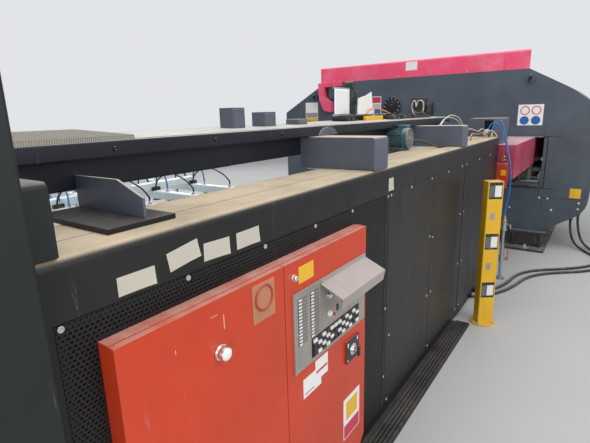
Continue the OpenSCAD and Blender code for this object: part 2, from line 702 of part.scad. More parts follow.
// Saddles with bearing blocks around the rails, and the posts under the cover.
module carriage_saddles() color(steel_grey) {
    y0 = -carriage_right + 20;
    for (x = [-rail_x, rail_x]) {
        block([x - 50, y0, rail_top + 30], [x + 50, beam_left - 20, beam_z0]);
        for (y = [y0 + 10, beam_left - 130]) difference() {
            block([x - 45, y, rail_top - 24], [x + 45, y + 100, rail_top + 30]);
            block([x - rail_w/2 - run_gap, y - 1, rail_top - 25], [x + rail_w/2 + run_gap, y + 101, rail_top + run_gap]);
        }
    }
    for (x = [-1650, -550, 550, 1650], y = [y0 + 20, beam_left - 60])
        block([x - 25, y, beam_z1], [x + 25, y + 40, carriage_z1 - sheet_t]);
}
function cover_profile(d) = rounded([
    [-carriage_right + d, carriage_z0 - (d > 0 ? 1 : 0), 0],
    [carriage_left - d, carriage_z0 - (d > 0 ? 1 : 0), 0],
    [carriage_left - d, carriage_z1 - d, 12 - d],
    [-carriage_right + d, carriage_z1 - d, 12 - d]]);
// Folded red cover, open below and cut back on the workholder side.
module carriage_cover() color(cover_red) difference() {
    along_x(-carriage_half, carriage_half) polygon(cover_profile(0));
    along_x(-carriage_half + sheet_t, carriage_half - sheet_t) polygon(cover_profile(sheet_t));
    block([-carriage_half + 30, carriage_left - sheet_t - 1, carriage_z0 - 1],
        [carriage_half - 30, carriage_left + 1, beam_z1 + 5]);
}
module carriage_box() color(near_black) difference() {
    x0 = -carriage_half + 120;
    block([x0, carriage_left - 330, carriage_z1], [x0 + 300, carriage_left, carriage_z1 + 250]);
    block([x0 - 1, carriage_left - 235, carriage_z1 + 130], [x0 + 120, carriage_left - 150, carriage_z1 + 230]);
}
// Orange switch box on the near end of the carriage, with three switches above it.
module end_control_box() color(cabinet_orange) {
    y0 = -carriage_right + 50;
    block([-carriage_half - 35, y0, carriage_z0 - 90], [-carriage_half, y0 + 200, carriage_z0 + 150]);
    for (i = [0:2])
        rod_x(y0 + 55, carriage_z0 + 172 + 30 * i, -carriage_half - 26, -carriage_half, 24);
}
module x_rails() color(bright_steel)
    for (z = [slide_z0 + 20, slide_z1 - 40])
        block([-carriage_half + 50, beam_left, z], [carriage_half - 50, beam_left + 18, z + 20]);

// Two brush tables that ride with the carriage, each on a welded rim with two arms.
module side_table() {
    x0 = x_face + 50;
    x1 = x0 + side_table_w;
    y0 = carriage_left - 50;
    y1 = y0 + side_table_d;
    block([x0, y0, table_z - 15], [x1, y1, table_z]);
    difference() {
        block([x0, y0, table_z - 75], [x1, y1, table_z - 15]);
        block([x0 + 40, y0 + 40, table_z - 76], [x1 - 40, y1 - 40, table_z - 14]);
    }
    for (y = [y0 + side_table_d/3, y0 + side_table_d * 2/3])
        block([x0 + 40, y - 20, table_z - 60], [x1 - 40, y + 20, table_z - 15]);
    for (y = [y0 + 120, y1 - 240])
        block([x0, y, table_z - 120 + run_gap], [x_face + 80, y + 120, table_z - 75]);
    for (x = [x0 + 150, x1 - 210]) {
        block([x, y0 - 300, table_z - 75], [x + 60, y0, table_z - 15]);
        block([x, y0 - 300, table_z - 15], [x + 60, y0 - 200, beam_z0]);
    }
    n = floor((side_table_w - 60) / (2 * brush_pitch));
    for (i = [0:n]) {
        x = x0 + 40 + i * 2 * brush_pitch;
        block([x - 10, y0 + 160, table_z], [x + 10, y1 - 20, table_z + brush_h - 1]);
    }
}
module side_tables() color(steel_grey) both_sides() side_table();

module x_slide() color(bright_steel) {
    block([-slide_half, slide_y0, slide_z0], [slide_half, slide_y1, slide_z1]);
    for (x = [-slide_half + 40, -120, slide_half - 140], z = [slide_z0 + 20, slide_z1 - 40]) difference() {
        block([x, beam_left + 4, z - 14], [x + 100, slide_y0, z + 34]);
        block([x - 1, beam_left + 3, z - run_gap], [x + 101, beam_left + 18 + run_gap, z + 20 + run_gap]);
    }
}

pin_y = jaw_tip - 78;
pin_z = pass_z + 46;
// One workholder: cheeks, fixed lower jaw and hinge pin.
module clamp_body(x) {
    along_x(x - clamp_w/2, x + clamp_w/2) polygon(rounded([
        [slide_y1, pass_z - 8, 0], [jaw_tip, pass_z - 8, 0], [jaw_tip, pass_z - 2, 0],
        [jaw_tip - 12, pass_z, 0], [slide_y1 + 22, pass_z, 0],
        [slide_y1 + 22, pass_z + 120, 6], [slide_y1, pass_z + 120, 0]]));
    for (s = [-1, 1]) difference() {
        along_x(x + s * (clamp_w/2 - 5) - 5, x + s * (clamp_w/2 - 5) + 5) polygon(rounded([
            [slide_y1 + 22, pass_z, 0], [pin_y + 26, pass_z, 0], [pin_y + 26, pin_z + 22, 14],
            [slide_y1 + 22, pass_z + 100, 0]]));
        rod_x(pin_y, pin_z, x - clamp_w, x + clamp_w, 14);
    }
    rod_x(pin_y, pin_z, x - clamp_w/2, x + clamp_w/2, 14);
}
module clamp_bodies() color(tool_steel)
    for (i = [-1:1]) clamp_body(i * clamp_pitch);
module clamp_jaws() color(bright_steel)
    for (i = [-1:1]) difference() {
        x = i * clamp_pitch;
        half = clamp_w/2 - 11;
        along_x(x - half, x + half) polygon(rounded([
            [pin_y - 20, pin_z - 18, 8], [pin_y + 12, pin_z - 20, 0], [jaw_tip - 34, pass_z + 1, 0],
            [jaw_tip - 2, pass_z + 1, 0], [jaw_tip - 2, pass_z + 9, 3], [pin_y + 20, pin_z + 20, 16],
            [pin_y - 20, pin_z + 20, 8]]));
        rod_x(pin_y, pin_z, x - clamp_w, x + clamp_w, 14 + 2 * run_gap);
    }

module end_column() color(near_black) {
    x1 = loader_x0 + 62;
    y0 = loader_front - column_t;
    along_z(12, column_h) polygon(rounded(rect_pts(x1 - column_w, x1, y0, loader_front, 8)));
    block([x1 - column_w - 20, y0 - 60, 0], [x1, loader_front, 12]);
}

// Welded housing: back, ends, floor and posts, open to the front behind the panels.
module loader_base() color(near_black) {
    front = loader_front + panel_t;
    difference() {
        block([loader_x0, front, 0], [loader_x1, loader_back, band_z]);
        for (s = [[sheet_x0 + 20, panel_joint_a - 20], [panel_joint_a + 20, panel_joint_b - 20],
                [panel_joint_b + 20, panel_joint_c - 20], [panel_joint_c + 20, loader_x1 - 20]])
            block([s[0], front - 1, panel_z0 + 30], [s[1], loader_back - 20, band_z - 20]);
        block([loader_x0 - 1, front - 1, -1], [loader_x1 + 1, plinth_y, panel_z0 - 5]);
    }
    // Plain corner post at the left of the perforated sheet
    block([loader_x0, loader_front, panel_z0], [sheet_x0 - 1.5, front, band_z]);
    // Entry pieces of the two power cables on the plinth
    for (x = [entry_a, entry_b]) difference() {
        block([x - 24, plinth_y - 12, 0], [x + 24, plinth_y, 42]);
        rod_y(x, cable_z, plinth_y - 13, plinth_y + 1, cable_d + 2 * run_gap);
    }
}
module front_panel(x0, x1) {
    block([x0 + 1.5, loader_front, panel_z0], [x1 - 1.5, loader_front + panel_t, band_z - 2]);
    for (x = [x0 + 25, x1 - 25], z = [panel_z0 + 14, (panel_z0 + band_z)/2, band_z - 20])
        rod_y(x, z, loader_front - 4, loader_front, 12);
}
module loader_panels() color(near_black) {
    front_panel(panel_joint_a, panel_joint_b);
    front_panel(panel_joint_b, panel_joint_c);
    front_panel(panel_joint_c, loader_x1);
}
module perforated_panel() color(near_black) difference() {
    cols = 14;
    rows = 8;
    dx = (panel_joint_a - sheet_x0) / cols;
    dz = (band_z - panel_z0) / rows;
    block([sheet_x0, loader_front, panel_z0], [panel_joint_a - 1.5, loader_front + panel_t, band_z - 2]);
    block([cabinet_x0 + 8, loader_front - 1, cabinet_z0 + 8], [cabinet_x1 - 8, loader_front + panel_t + 1, cabinet_z1 - 8]);
    for (i = [0:cols - 1], j = [0:rows - 1]) {
        x = sheet_x0 + (i + 0.5) * dx;
        z = panel_z0 + (j + 0.5) * dz;
        if (x > cabinet_x1 + 40 && x < panel_joint_a - 40)
            rod_y(x, z, loader_front - 1, loader_front + panel_t + 1, 60);
    }
}
module loader_top() color(steel_grey) {
    difference() {
        along_x(loader_x0, loader_x1) polygon(rounded([[loader_front, band_z, 0],
            [loader_back, band_z, 0], [loader_back, loader_h, 4], [loader_front, loader_h, 22]]));
        along_x(loader_x0 + sheet_t, loader_x1 - sheet_t) polygon(rounded([
            [loader_front + sheet_t, band_z - 1, 0], [loader_back - sheet_t, band_z - 1, 0],
            [loader_back - sheet_t, loader_h - sheet_t, 2], [loader_front + sheet_t, loader_h - sheet_t, 18]]));
        block([loader_x0 - 1, loader_front + 132, loader_h - 1.5], [loader_x1 + 1, loader_front + 135, loader_h + 1]);
    }
    rod_z(hose_start[0], hose_start[1], loader_h, hose_start[2], 24);
}
// Fin on its plate, and the left side and length of each block under the beam
fin_x = loader_x0 + 396;
fin_plate_t = 14;
blocks = [[loader_x0 + 2, 125], [-4767, block_w], [-3290, block_w]];
module beam_brackets() color(near_black) {
    y1 = beam_front + 60;
    front = loader_front + 2;
    for (b = blocks)
        along_x(b[0], b[0] + b[1]) polygon(rounded([[front, loader_h, 0], [y1, loader_h, 0],
            [y1, beam_z, 0], [front, beam_z, 14]]));
    block([fin_x - 120, loader_front + 75, loader_h], [fin_x + 80, beam_front + 60, loader_h + fin_plate_t]);
    along_x(fin_x, fin_x + 8) polygon([[loader_front + 100, loader_h + fin_plate_t],
        [beam_front + 60, loader_h + fin_plate_t], [beam_front + 60, beam_z - 45],
        [loader_front + 205, beam_z - 45], [loader_front + 100, loader_h + 66]]);
}
// Cap and recessed skirt of the beam, running the length of the loader.
module loader_beam() color(steel_grey) {
    x0 = loader_x0 - 40;
    block([x0, beam_front, beam_z], [beam_x1, beam_front + beam_w, beam_z + beam_cap]);
    difference() {
        block([x0, beam_front + 60, beam_z - beam_skirt], [beam_x1, beam_front + beam_w - 60, beam_z]);
        block([x0 + 20, beam_front + 75, beam_z - beam_skirt - 1], [beam_x1 - 20, beam_front + beam_w - 75, beam_z - 12]);
    }
    block([x0, beam_front + beam_w, beam_z + 12], [beam_x1, beam_front + beam_w + 15, beam_z + 38]);
}
module beam_bellows() color(near_black) {
    x0 = loader_x0 - 40;
    n = floor(bellows_len / rib_pitch);
    along_y(beam_front + 15, beam_front + beam_w - 15) polygon(concat(
        [[x0 + n * rib_pitch, beam_z + beam_cap], [x0, beam_z + beam_cap]],
        [for (i = [0:n - 1]) each [[x0 + i * rib_pitch, beam_z + beam_cap + 20],
            [x0 + (i + 0.5) * rib_pitch, beam_z + beam_cap + 30]]],
        [[x0 + n * rib_pitch, beam_z + beam_cap + 20]]));
}
module beam_fittings() color(near_black) {
    z = beam_z + beam_cap;
    // Sensor boxes on the cap: [x, width, height]
    for (b = [[-5130, 84, 97], [-4906, 92, 76], [-4621, 93, 35]])
        block([b[0], beam_front + 170, z], [b[0] + b[1], beam_front + 250, z + b[2]]);
    bump_x = -4593;
    along_y(beam_front - 6, beam_front) polygon(rounded([[bump_x - 97, beam_z, 0], [bump_x + 96, beam_z, 0],
        [bump_x + 63, beam_z + 40, 30], [bump_x - 67, beam_z + 40, 30]]));
    // Post with two strips and two round feet near the far end of the beam
    sign_x = -3830;
    y = beam_front + 240;
    block([sign_x, y - 25, z], [sign_x + 50, y + 25, z + 260]);
    for (dz = [20, 190]) block([sign_x - 110, y - 15, z + dz], [sign_x, y + 5, z + dz + 12]);
    for (x = [sign_x - 130, sign_x + 70]) rod_x(y, z + 25, x, x + 30, 50);
}
// Geared drive motor on the loader top, fan end towards the front.
motor_x = -3670;
motor_z = beam_z - 70;
module drive_motor() color([0.25, 0.46, 0.50]) {
    y0 = loader_front + 248;
    rod_y(motor_x, motor_z, y0 + 12, y0 + 150, 132);
    rod_y(motor_x, motor_z, y0, y0 + 12, 140);
    for (a = [0:30:150]) translate([motor_x, y0 + 20, motor_z]) rotate([0, a, 0])
        block([-70, 0, -2.5], [70, 80, 2.5]);
    rod_y(motor_x, motor_z, y0 + 150, beam_front + 60, 100);
    block([motor_x + 30, y0 + 30, motor_z + 50], [motor_x + 90, y0 + 95, motor_z + 86]);
    block([motor_x - 50, y0 + 20, loader_h], [motor_x + 50, y0 + 40, motor_z - 50]);
}

// Carriage that rolls on the side rail of the beam and carries the lift column.
module loader_carriage() color(steel_grey) {
    y0 = beam_front + beam_w;
    difference() {
        block([lift_x - 180, y0 + 2, arm_z], [lift_x + 180, y0 + 50, beam_z + beam_cap]);
        block([lift_x - 181, y0 + 1, beam_z + 12 - run_gap], [lift_x + 181, y0 + 15 + run_gap, beam_z + 38 + run_gap]);
    }
    for (x = [lift_x - 130, lift_x + 70])
        block([x, y0 + 50, arm_z], [x + 60, suction_y + 90, arm_z + 60]);
    difference() {
        block([lift_x - 130, suction_y - 90, arm_z - 30], [lift_x + 130, suction_y + 90, arm_z]);
        for (x = [-lift_rod_x, lift_rod_x])
            rod_z(lift_x + x, suction_y, arm_z - 31, arm_z + 1, lift_rod_d + 2 * run_gap);
    }
}
module suction_frame() color(pale_blue) {
    x0 = suction_x - suction_len/2;
    x1 = suction_x + suction_len/2;
    top = suction_z + 2 * tube_w;
    step = (suction_len - tube_w) / (suction_arms - 1);
    for (x = [-lift_rod_x, lift_rod_x])
        rod_z(lift_x + x, suction_y, top + 12, arm_z + lift_stroke + 12, lift_rod_d);
    block([lift_x - 120, suction_y - 60, top], [lift_x + 120, suction_y + 60, top + 12]);
    block([x0, suction_y - tube_w/2, suction_z + tube_w], [x1, suction_y + tube_w/2, top]);
    for (i = [0:suction_arms - 1]) {
        x = x0 + tube_w/2 + i * step;
        difference() {
            block([x - tube_w/2, suction_y - suction_w/2, suction_z],
                [x + tube_w/2, suction_y + suction_w/2, suction_z + tube_w]);
            block([x - tube_w/2 + 4, suction_y - suction_w/2 - 1, suction_z + 4],
                [x + tube_w/2 - 4, suction_y + suction_w/2 + 1, suction_z + tube_w - 4]);
        }
        for (y = [suction_y - suction_w/2 + 60, suction_y - suction_w/6, suction_y + suction_w/6,
                suction_y + suction_w/2 - 60]) {
            rod_z(x, y, suction_z - 70, suction_z, 16);
            translate([x, y, suction_z - 105]) cylinder(h = 35, d1 = 70, d2 = 26);
        }
    }
}

// Turning and pressed pieces on the doors: [x, z, shaft diameter].
knob_left = [door_seam - 296, cabinet_z1 - 155, 20];
knob_right = [door_seam + 52, cabinet_z1 - 58, 14];
main_shaft = [cabinet_x1 - 132, panel_low - 96, 16];
stop_shaft = [panel_x1 - 183, panel_high - 154, 18];
start_shaft = [panel_x1 - 231, panel_high - 154, 22];
key_shaft = [panel_x1 - 304, panel_high - 81, 16];
function door_outline(x0, x1, chamfer) = [[x0, cabinet_z0 + 2], [x1 - chamfer, cabinet_z0 + 2],
    [x1, cabinet_z0 + 2 + chamfer], [x1, cabinet_z1 - 2], [x0, cabinet_z1 - 2]];
hinge_zs = [cabinet_z0 + 150, cabinet_z1 - 330];
// Barrel hinge halves on the side faces; s is -1 at the left and 1 at the right.
module body_hinges(x, s) for (z = hinge_zs) {
    rod_z(x + s * 5, body_y, z, z + 28, 10);
    rod_z(x + s * 5, body_y, z + 28, z + 58, 6);
    block([min(x, x + s * 5), body_y, z], [max(x, x + s * 5), body_y + 22, z + 28]);
}
module door_hinges(x, s) for (z = hinge_zs) difference() {
    union() {
        rod_z(x + s * 5, body_y, z + 28.5, z + 58, 10);
        block([min(x, x + s * 5), door_y + 4, z + 28.5], [max(x, x + s * 5), body_y - run_gap, z + 58]);
    }
    rod_z(x + s * 5, body_y, z + 28, z + 59, 6 + 2 * run_gap);
}
// Open-fronted steel box with a mounting plate of relays and drives.
module cabinet_body() color(cabinet_orange) {
    back = body_y + cabinet_d;
    difference() {
        union() {
            along_y(body_y, loader_front) polygon([[cabinet_x0, cabinet_z0], [cabinet_x1 - cabinet_chamfer, cabinet_z0],
                [cabinet_x1, cabinet_z0 + cabinet_chamfer], [cabinet_x1, cabinet_z1], [cabinet_x0, cabinet_z1]]);
            along_y(loader_front, back) polygon([[cabinet_x0 + 9, cabinet_z0 + 9],
                [cabinet_x1 - cabinet_chamfer, cabinet_z0 + 9], [cabinet_x1 - 9, cabinet_z0 + cabinet_chamfer],
                [cabinet_x1 - 9, cabinet_z1 - 9], [cabinet_x0 + 9, cabinet_z1 - 9]]);
        }
        along_y(body_y - 1, back - sheet_t) polygon([[cabinet_x0 + 14, cabinet_z0 + 14],
            [cabinet_x1 - cabinet_chamfer - 4, cabinet_z0 + 14], [cabinet_x1 - 14, cabinet_z0 + cabinet_chamfer + 4],
            [cabinet_x1 - 14, cabinet_z1 - 14], [cabinet_x0 + 14, cabinet_z1 - 14]]);
    }
    block([cabinet_x0 + 60, back - sheet_t - 8, cabinet_z0 + 90], [cabinet_x1 - 60, back - sheet_t, cabinet_z1 - 60]);
    for (z = [cabinet_z0 + 160:190:cabinet_z1 - 220], x = [cabinet_x0 + 90:95:cabinet_x1 - 160])
        block([x, back - sheet_t - 78, z], [x + 80, back - sheet_t - 8, z + 110]);
    body_hinges(cabinet_x0, -1);
    body_hinges(cabinet_x1, 1);
}
module door(x0, x1, chamfer) difference() {
    along_y(door_y, body_y - run_gap) polygon(door_outline(x0, x1, chamfer));
    block([x0 + 25, door_y + 3, cabinet_z0 + 90], [x1 - 25, body_y + 1, cabinet_z1 - 30]);
}
module cabinet_door_left() color(cabinet_orange) {
    difference() {
        door(cabinet_x0, door_seam - 1.5, 0);
        rod_y(knob_left[0], knob_left[1], door_y - 1, body_y + 1, knob_left[2] + 2 * run_gap);
    }
    door_hinges(cabinet_x0, -1);
}
module cabinet_door_right() color(cabinet_orange) {
    difference() {
        door(door_seam + 1.5, cabinet_x1, cabinet_chamfer);
        for (p = [knob_right, main_shaft, stop_shaft, start_shaft, key_shaft])
            rod_y(p[0], p[1], door_y - 1, body_y + 1, p[2] + 2 * run_gap);
    }
    // Square plate behind the main switch
    difference() {
        block([main_shaft[0] - 53, panel_y, main_shaft[1] - 48], [main_shaft[0] + 57, door_y, main_shaft[1] + 50]);
        rod_y(main_shaft[0], main_shaft[1], panel_y - 1, door_y + 1, main_shaft[2] + 2 * run_gap);
    }
    door_hinges(cabinet_x1, 1);
}
// Round turning knob with a grip bar and a shaft through the door.
module turn_knob(p, d, grip) {
    rod_y(p[0], p[1], door_y - grip, door_y - run_gap, d);
    rod_y(p[0], p[1], door_y - run_gap, body_y - 2, p[2]);
    block([p[0] - d * 0.12, door_y - grip - 10, p[1] - d * 0.42], [p[0] + d * 0.12, door_y - grip, p[1] + d * 0.42]);
}
module door_knob_left() color(bright_steel) turn_knob(knob_left, 46, 26);
module door_knob_right() color(bright_steel) turn_knob(knob_right, 26, 14);

// Panel plate with two columns of lamps, a small knob, a white button and the keypad.
module control_panel() color(light_grey) {
    difference() {
        along_y(panel_y, door_y) polygon(rounded(rect_pts(panel_x0, panel_x1, panel_low, panel_high, 8)));
        for (p = [stop_shaft, start_shaft, key_shaft])
            rod_y(p[0], p[1], panel_y - 1, door_y + 1, p[2] + 2 * run_gap);
    }
    lamp_pitch = 17;
    for (i = [0:9], x = [panel_x0 + 30, panel_x0 + 106])
        rod_y(x, panel_high - 22 - lamp_pitch * i, panel_y - 7, panel_y, 11);
    key_pitch = (panel_x1 - panel_x0 - 158) / 12;
    key_row = 17;
    for (i = [0:11], j = [0:3]) translate([panel_x0 + 106 + key_pitch * i, panel_y - 5, panel_low + 22 + key_row * j])
        cube([22, 5, 13]);
    rod_y(key_shaft[0] + 10, start_shaft[1], panel_y - 9, panel_y, 22);
    rod_y(key_shaft[0] + 48, key_shaft[1] - 23, panel_y - 14, panel_y, 18);
}
module panel_hood() color(light_grey) {
    x0 = panel_x0 + 164;
    z1 = panel_high - 18;
    y1 = panel_y - 94;
    along_x(x0, panel_x1) polygon([[panel_y, z1], [y1, z1 - 41], [y1 + 8, z1 - 84],
        [y1 + 5, z1 - 84], [y1 - 3.5, z1 - 39], [panel_y, z1 + 3.5]]);
    for (x = [x0, panel_x1 - 2.5])
        along_x(x, x + 2.5) polygon([[panel_y, z1], [y1, z1 - 41], [y1 + 8, z1 - 84], [panel_y, z1 - 30]]);
}
module emergency_button() color([0.75, 0.1, 0.08]) {
    rod_y(stop_shaft[0], stop_shaft[1], panel_y - 22, panel_y - 10, 38);
    rod_y(stop_shaft[0], stop_shaft[1], panel_y - 10, door_y + 4, stop_shaft[2]);
}
module start_button() color([0.1, 0.5, 0.25])
    rod_y(start_shaft[0], start_shaft[1], panel_y - 8, door_y + 4, start_shaft[2]);
module key_switch() color(bright_steel) {
    x = key_shaft[0];
    z = key_shaft[1];
    rod_y(x, z, panel_y - 12, panel_y - run_gap, 22);
    rod_y(x, z, panel_y - run_gap, door_y + 4, key_shaft[2]);
    block([x - 2, panel_y - 34, z - 10], [x + 2, panel_y - 12, z + 10]);
}
// Round boss, shaft and handle of the main switch.
module main_switch() color(near_black) {
    x = main_shaft[0];
    z = main_shaft[1];
    rod_y(x, z, panel_y - 16, panel_y - run_gap, 56);
    rod_y(x, z, panel_y - run_gap, body_y - 2, main_shaft[2]);
    along_y(panel_y - 38, panel_y - 16) polygon(rounded([[x - 8, z - 30, 6], [x + 8, z - 30, 6],
        [x + 10, z + 30, 8], [x - 10, z + 30, 8]]));
}

module light_post() color(post_yellow) translate([post_x, post_y, 0]) rotate([0, 0, post_turn]) {
    difference() {
        along_z(14, post_h) polygon(rounded(rect_pts(-post_d/2, post_d/2, -post_w/2, post_w/2, 8)));
        for (i = [0:2])
            block([-post_d/2 - 1, -post_w/2 + 10, window_z + i * window_pitch - window_h/2],
                [-post_d/2 + 6, post_w/2 - 10, window_z + i * window_pitch + window_h/2]);
    }
    difference() {
        rod_z(0, 0, 0, 14, 190);
        for (a = [45:90:315]) rod_z(78 * cos(a), 78 * sin(a), -1, 15, 13);
    }
}
module floor_duct() color(near_black) {
    strips = 5;
    y0 = loader_front - 6;
    along_x(cabinet_x0, post_x - 110) polygon(concat([[plinth_y, 0], [plinth_y, 5], [y0 + 3, 5]],
        [for (i = [0:strips - 1]) each [[y0 - 21 * i, 16], [y0 - 16 - 21 * i, 16],
            [y0 - 17 - 21 * i, 5], [y0 - 20 - 21 * i, 5]]],
        [[y0 - 21 * strips, 0]]));
}

// Air supply riser with flange, valve body, filter bowl and a bracket to the loader.
module air_riser() color(tool_steel) {
    difference() {
        rod_z(riser_x, riser_y, 0, 10, 90);
        for (a = [0:90:270]) rod_z(riser_x + 33 * cos(a), riser_y + 33 * sin(a), -1, 11, 9);
    }
    rod_z(riser_x, riser_y, 10, 520, 27);
    rod_z(riser_x, riser_y, valve_z - 30, valve_z + 30, 44);
    rod_y(riser_x, valve_z, riser_y - 40, riser_y, 20);
    rod_y(riser_x, valve_z, riser_y - 52, riser_y - 40, 10);
    rod_z(riser_x, riser_y, 520, 590, 62);
    rod_z(riser_x, riser_y, 590, riser_top, 34);
    block([loader_x1, riser_y + 20, 540], [loader_x1 + 6, loader_front + 60, 575]);
    block([loader_x1, riser_y + 20, 540], [riser_x + 10, riser_y + 30, 575]);
}
module valve_handle() color([0.78, 0.1, 0.1]) {
    difference() {
        rod_y(riser_x, valve_z, riser_y - 56, riser_y - 40 - run_gap, 26);
        rod_y(riser_x, valve_z, riser_y - 53, riser_y - 40, 10 + 2 * run_gap);
    }
    block([riser_x - 8, riser_y - 60, valve_z - 10], [riser_x + 8, riser_y - 54, valve_z + 100]);
}

module air_hose() color([0.12, 0.42, 0.75]) tube_path(hose_route, hose_d, 8);
module power_cable_a() color(near_black) tube_path(cable_route_a, cable_d, 8);
module power_cable_b() color(near_black) tube_path(cable_route_b, cable_d, 8);

bridge_frame();
frame_feet();
top_covers();
side_guard();
leg_cover_plates();
frame_fittings();
ram_cylinder();
striker();
upper_bearing();
upper_turret();
punch_tools();
turret_motors();
lower_bearing();
lower_turret();
die_set();
center_table();
brush_strips();
y_rails();
y_screw();
y_nut_drive();
scrap_chute();
carriage_beam();
carriage_saddles();
carriage_cover();
carriage_box();
end_control_box();
x_rails();
side_tables();
x_slide();
clamp_bodies();
clamp_jaws();
end_column();
loader_base();
loader_panels();
perforated_panel();
loader_top();
beam_brackets();
loader_beam();
beam_bellows();
beam_fittings();
drive_motor();
loader_carriage();
suction_frame();
cabinet_body();
cabinet_door_left();
cabinet_door_right();
door_knob_left();
door_knob_right();
control_panel();
panel_hood();
emergency_button();
start_button();
key_switch();
main_switch();
light_post();
floor_duct();
air_riser();
valve_handle();
air_hose();
power_cable_a();
power_cable_b();
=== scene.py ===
import bpy
import json
import math
from mathutils import Matrix, Vector

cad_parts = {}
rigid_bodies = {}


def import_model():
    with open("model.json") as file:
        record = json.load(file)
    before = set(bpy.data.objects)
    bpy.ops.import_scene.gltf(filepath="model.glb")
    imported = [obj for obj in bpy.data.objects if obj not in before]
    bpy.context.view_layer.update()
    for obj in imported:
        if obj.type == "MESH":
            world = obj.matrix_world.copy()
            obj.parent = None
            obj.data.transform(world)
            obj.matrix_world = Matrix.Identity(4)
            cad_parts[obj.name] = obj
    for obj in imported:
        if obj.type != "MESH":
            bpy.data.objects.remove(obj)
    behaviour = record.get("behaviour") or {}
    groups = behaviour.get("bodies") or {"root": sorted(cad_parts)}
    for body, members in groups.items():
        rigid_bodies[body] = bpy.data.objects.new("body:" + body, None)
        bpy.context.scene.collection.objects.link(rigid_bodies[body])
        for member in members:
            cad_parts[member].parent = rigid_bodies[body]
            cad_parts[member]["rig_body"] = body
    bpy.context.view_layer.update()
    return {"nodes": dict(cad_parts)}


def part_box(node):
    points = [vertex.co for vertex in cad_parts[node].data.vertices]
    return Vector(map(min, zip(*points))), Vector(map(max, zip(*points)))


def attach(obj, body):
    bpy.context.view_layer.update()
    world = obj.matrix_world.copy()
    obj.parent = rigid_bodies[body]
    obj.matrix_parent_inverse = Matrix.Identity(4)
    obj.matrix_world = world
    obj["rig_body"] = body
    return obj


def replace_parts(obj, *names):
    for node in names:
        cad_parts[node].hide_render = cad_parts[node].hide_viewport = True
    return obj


# Looks of the turret punch press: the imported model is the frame, in metres
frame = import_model()
print("stage: frame loaded")


# Shaders
class Signal:  # a socket of a shader tree, so that shader sums read as sums
    def __init__(self, paint, socket):
        self.paint = paint
        self.socket = socket

    def maths(self, operation, *values):
        return self.paint.node("ShaderNodeMath", {"operation": operation}, dict(enumerate(values)))

    def __add__(self, other):
        return self.maths("ADD", self, other)

    def __radd__(self, other):
        return self.maths("ADD", other, self)

    def __sub__(self, other):
        return self.maths("SUBTRACT", self, other)

    def __rsub__(self, other):
        return self.maths("SUBTRACT", other, self)

    def __mul__(self, other):
        return self.maths("MULTIPLY", self, other)

    def __rmul__(self, other):
        return self.maths("MULTIPLY", other, self)

    def __pow__(self, other):
        return self.maths("POWER", self, other)


class Paint:  # a material and the one method that makes its nodes
    def __init__(self, name):
        self.material = bpy.data.materials.new(name)
        self.material.use_nodes = True
        self.tree = self.material.node_tree
        self.shader = self.tree.nodes["Principled BSDF"]

    def feed(self, socket, value):
        if isinstance(value, Signal):
            self.tree.links.new(value.socket, socket)
        else:
            socket.default_value = value

    def node(self, kind, settings=None, values=None, output=0):
        made = self.tree.nodes.new(kind)
        for key, value in (settings or {}).items():
            if key == "stops":
                ramp = made.color_ramp
                while len(ramp.elements) < len(value):
                    ramp.elements.new(0.5)
                for element, (place, colour) in zip(ramp.elements, value):
                    element.position = place
                    element.color = colour
            else:
                setattr(made, key, value)
        for socket, value in (values or {}).items():
            self.feed(made.inputs[socket], value)
        return Signal(self, made.outputs[output])

    def surface(self, **values):
        for key, value in values.items():
            self.feed(self.shader.inputs[key.replace("_", " ")], value)

    def places(self, stretch=(1, 1, 1)):
        spots = self.node("ShaderNodeTexCoord", output=3)
        return self.node("ShaderNodeMapping", values={"Vector": spots, "Scale": stretch})

    def noise(self, scale, detail=4, rough=0.55, stretch=(1, 1, 1), warp=0.0):
        return self.node("ShaderNodeTexNoise", values={"Vector": self.places(stretch), "Scale": scale,
                         "Detail": detail, "Roughness": rough, "Distortion": warp})

    def band(self, signal, low, high):  # 0 below low, 1 above high
        return self.node("ShaderNodeMapRange", {"interpolation_type": "SMOOTHSTEP"},
                         {"Value": signal, "From Min": low, "From Max": high})

    def blend(self, factor, first, second):
        return self.node("ShaderNodeMix", {"data_type": "RGBA"}, {0: factor, 6: first, 7: second}, output=2)

    def upward(self, power=3):  # 1 on faces that look up
        normal = self.node("ShaderNodeNewGeometry", output=1)
        facing = self.node("ShaderNodeSeparateXYZ", values={0: normal}, output=2)
        return self.band(facing, 0.25, 0.95) ** power

    def bumps(self, height, strength, distance):
        return self.node("ShaderNodeBump", values={"Strength": strength, "Distance": distance, "Height": height})


def tone(colour, factor):
    return tuple(min(1.0, c * factor) for c in colour[:3]) + (1.0,)


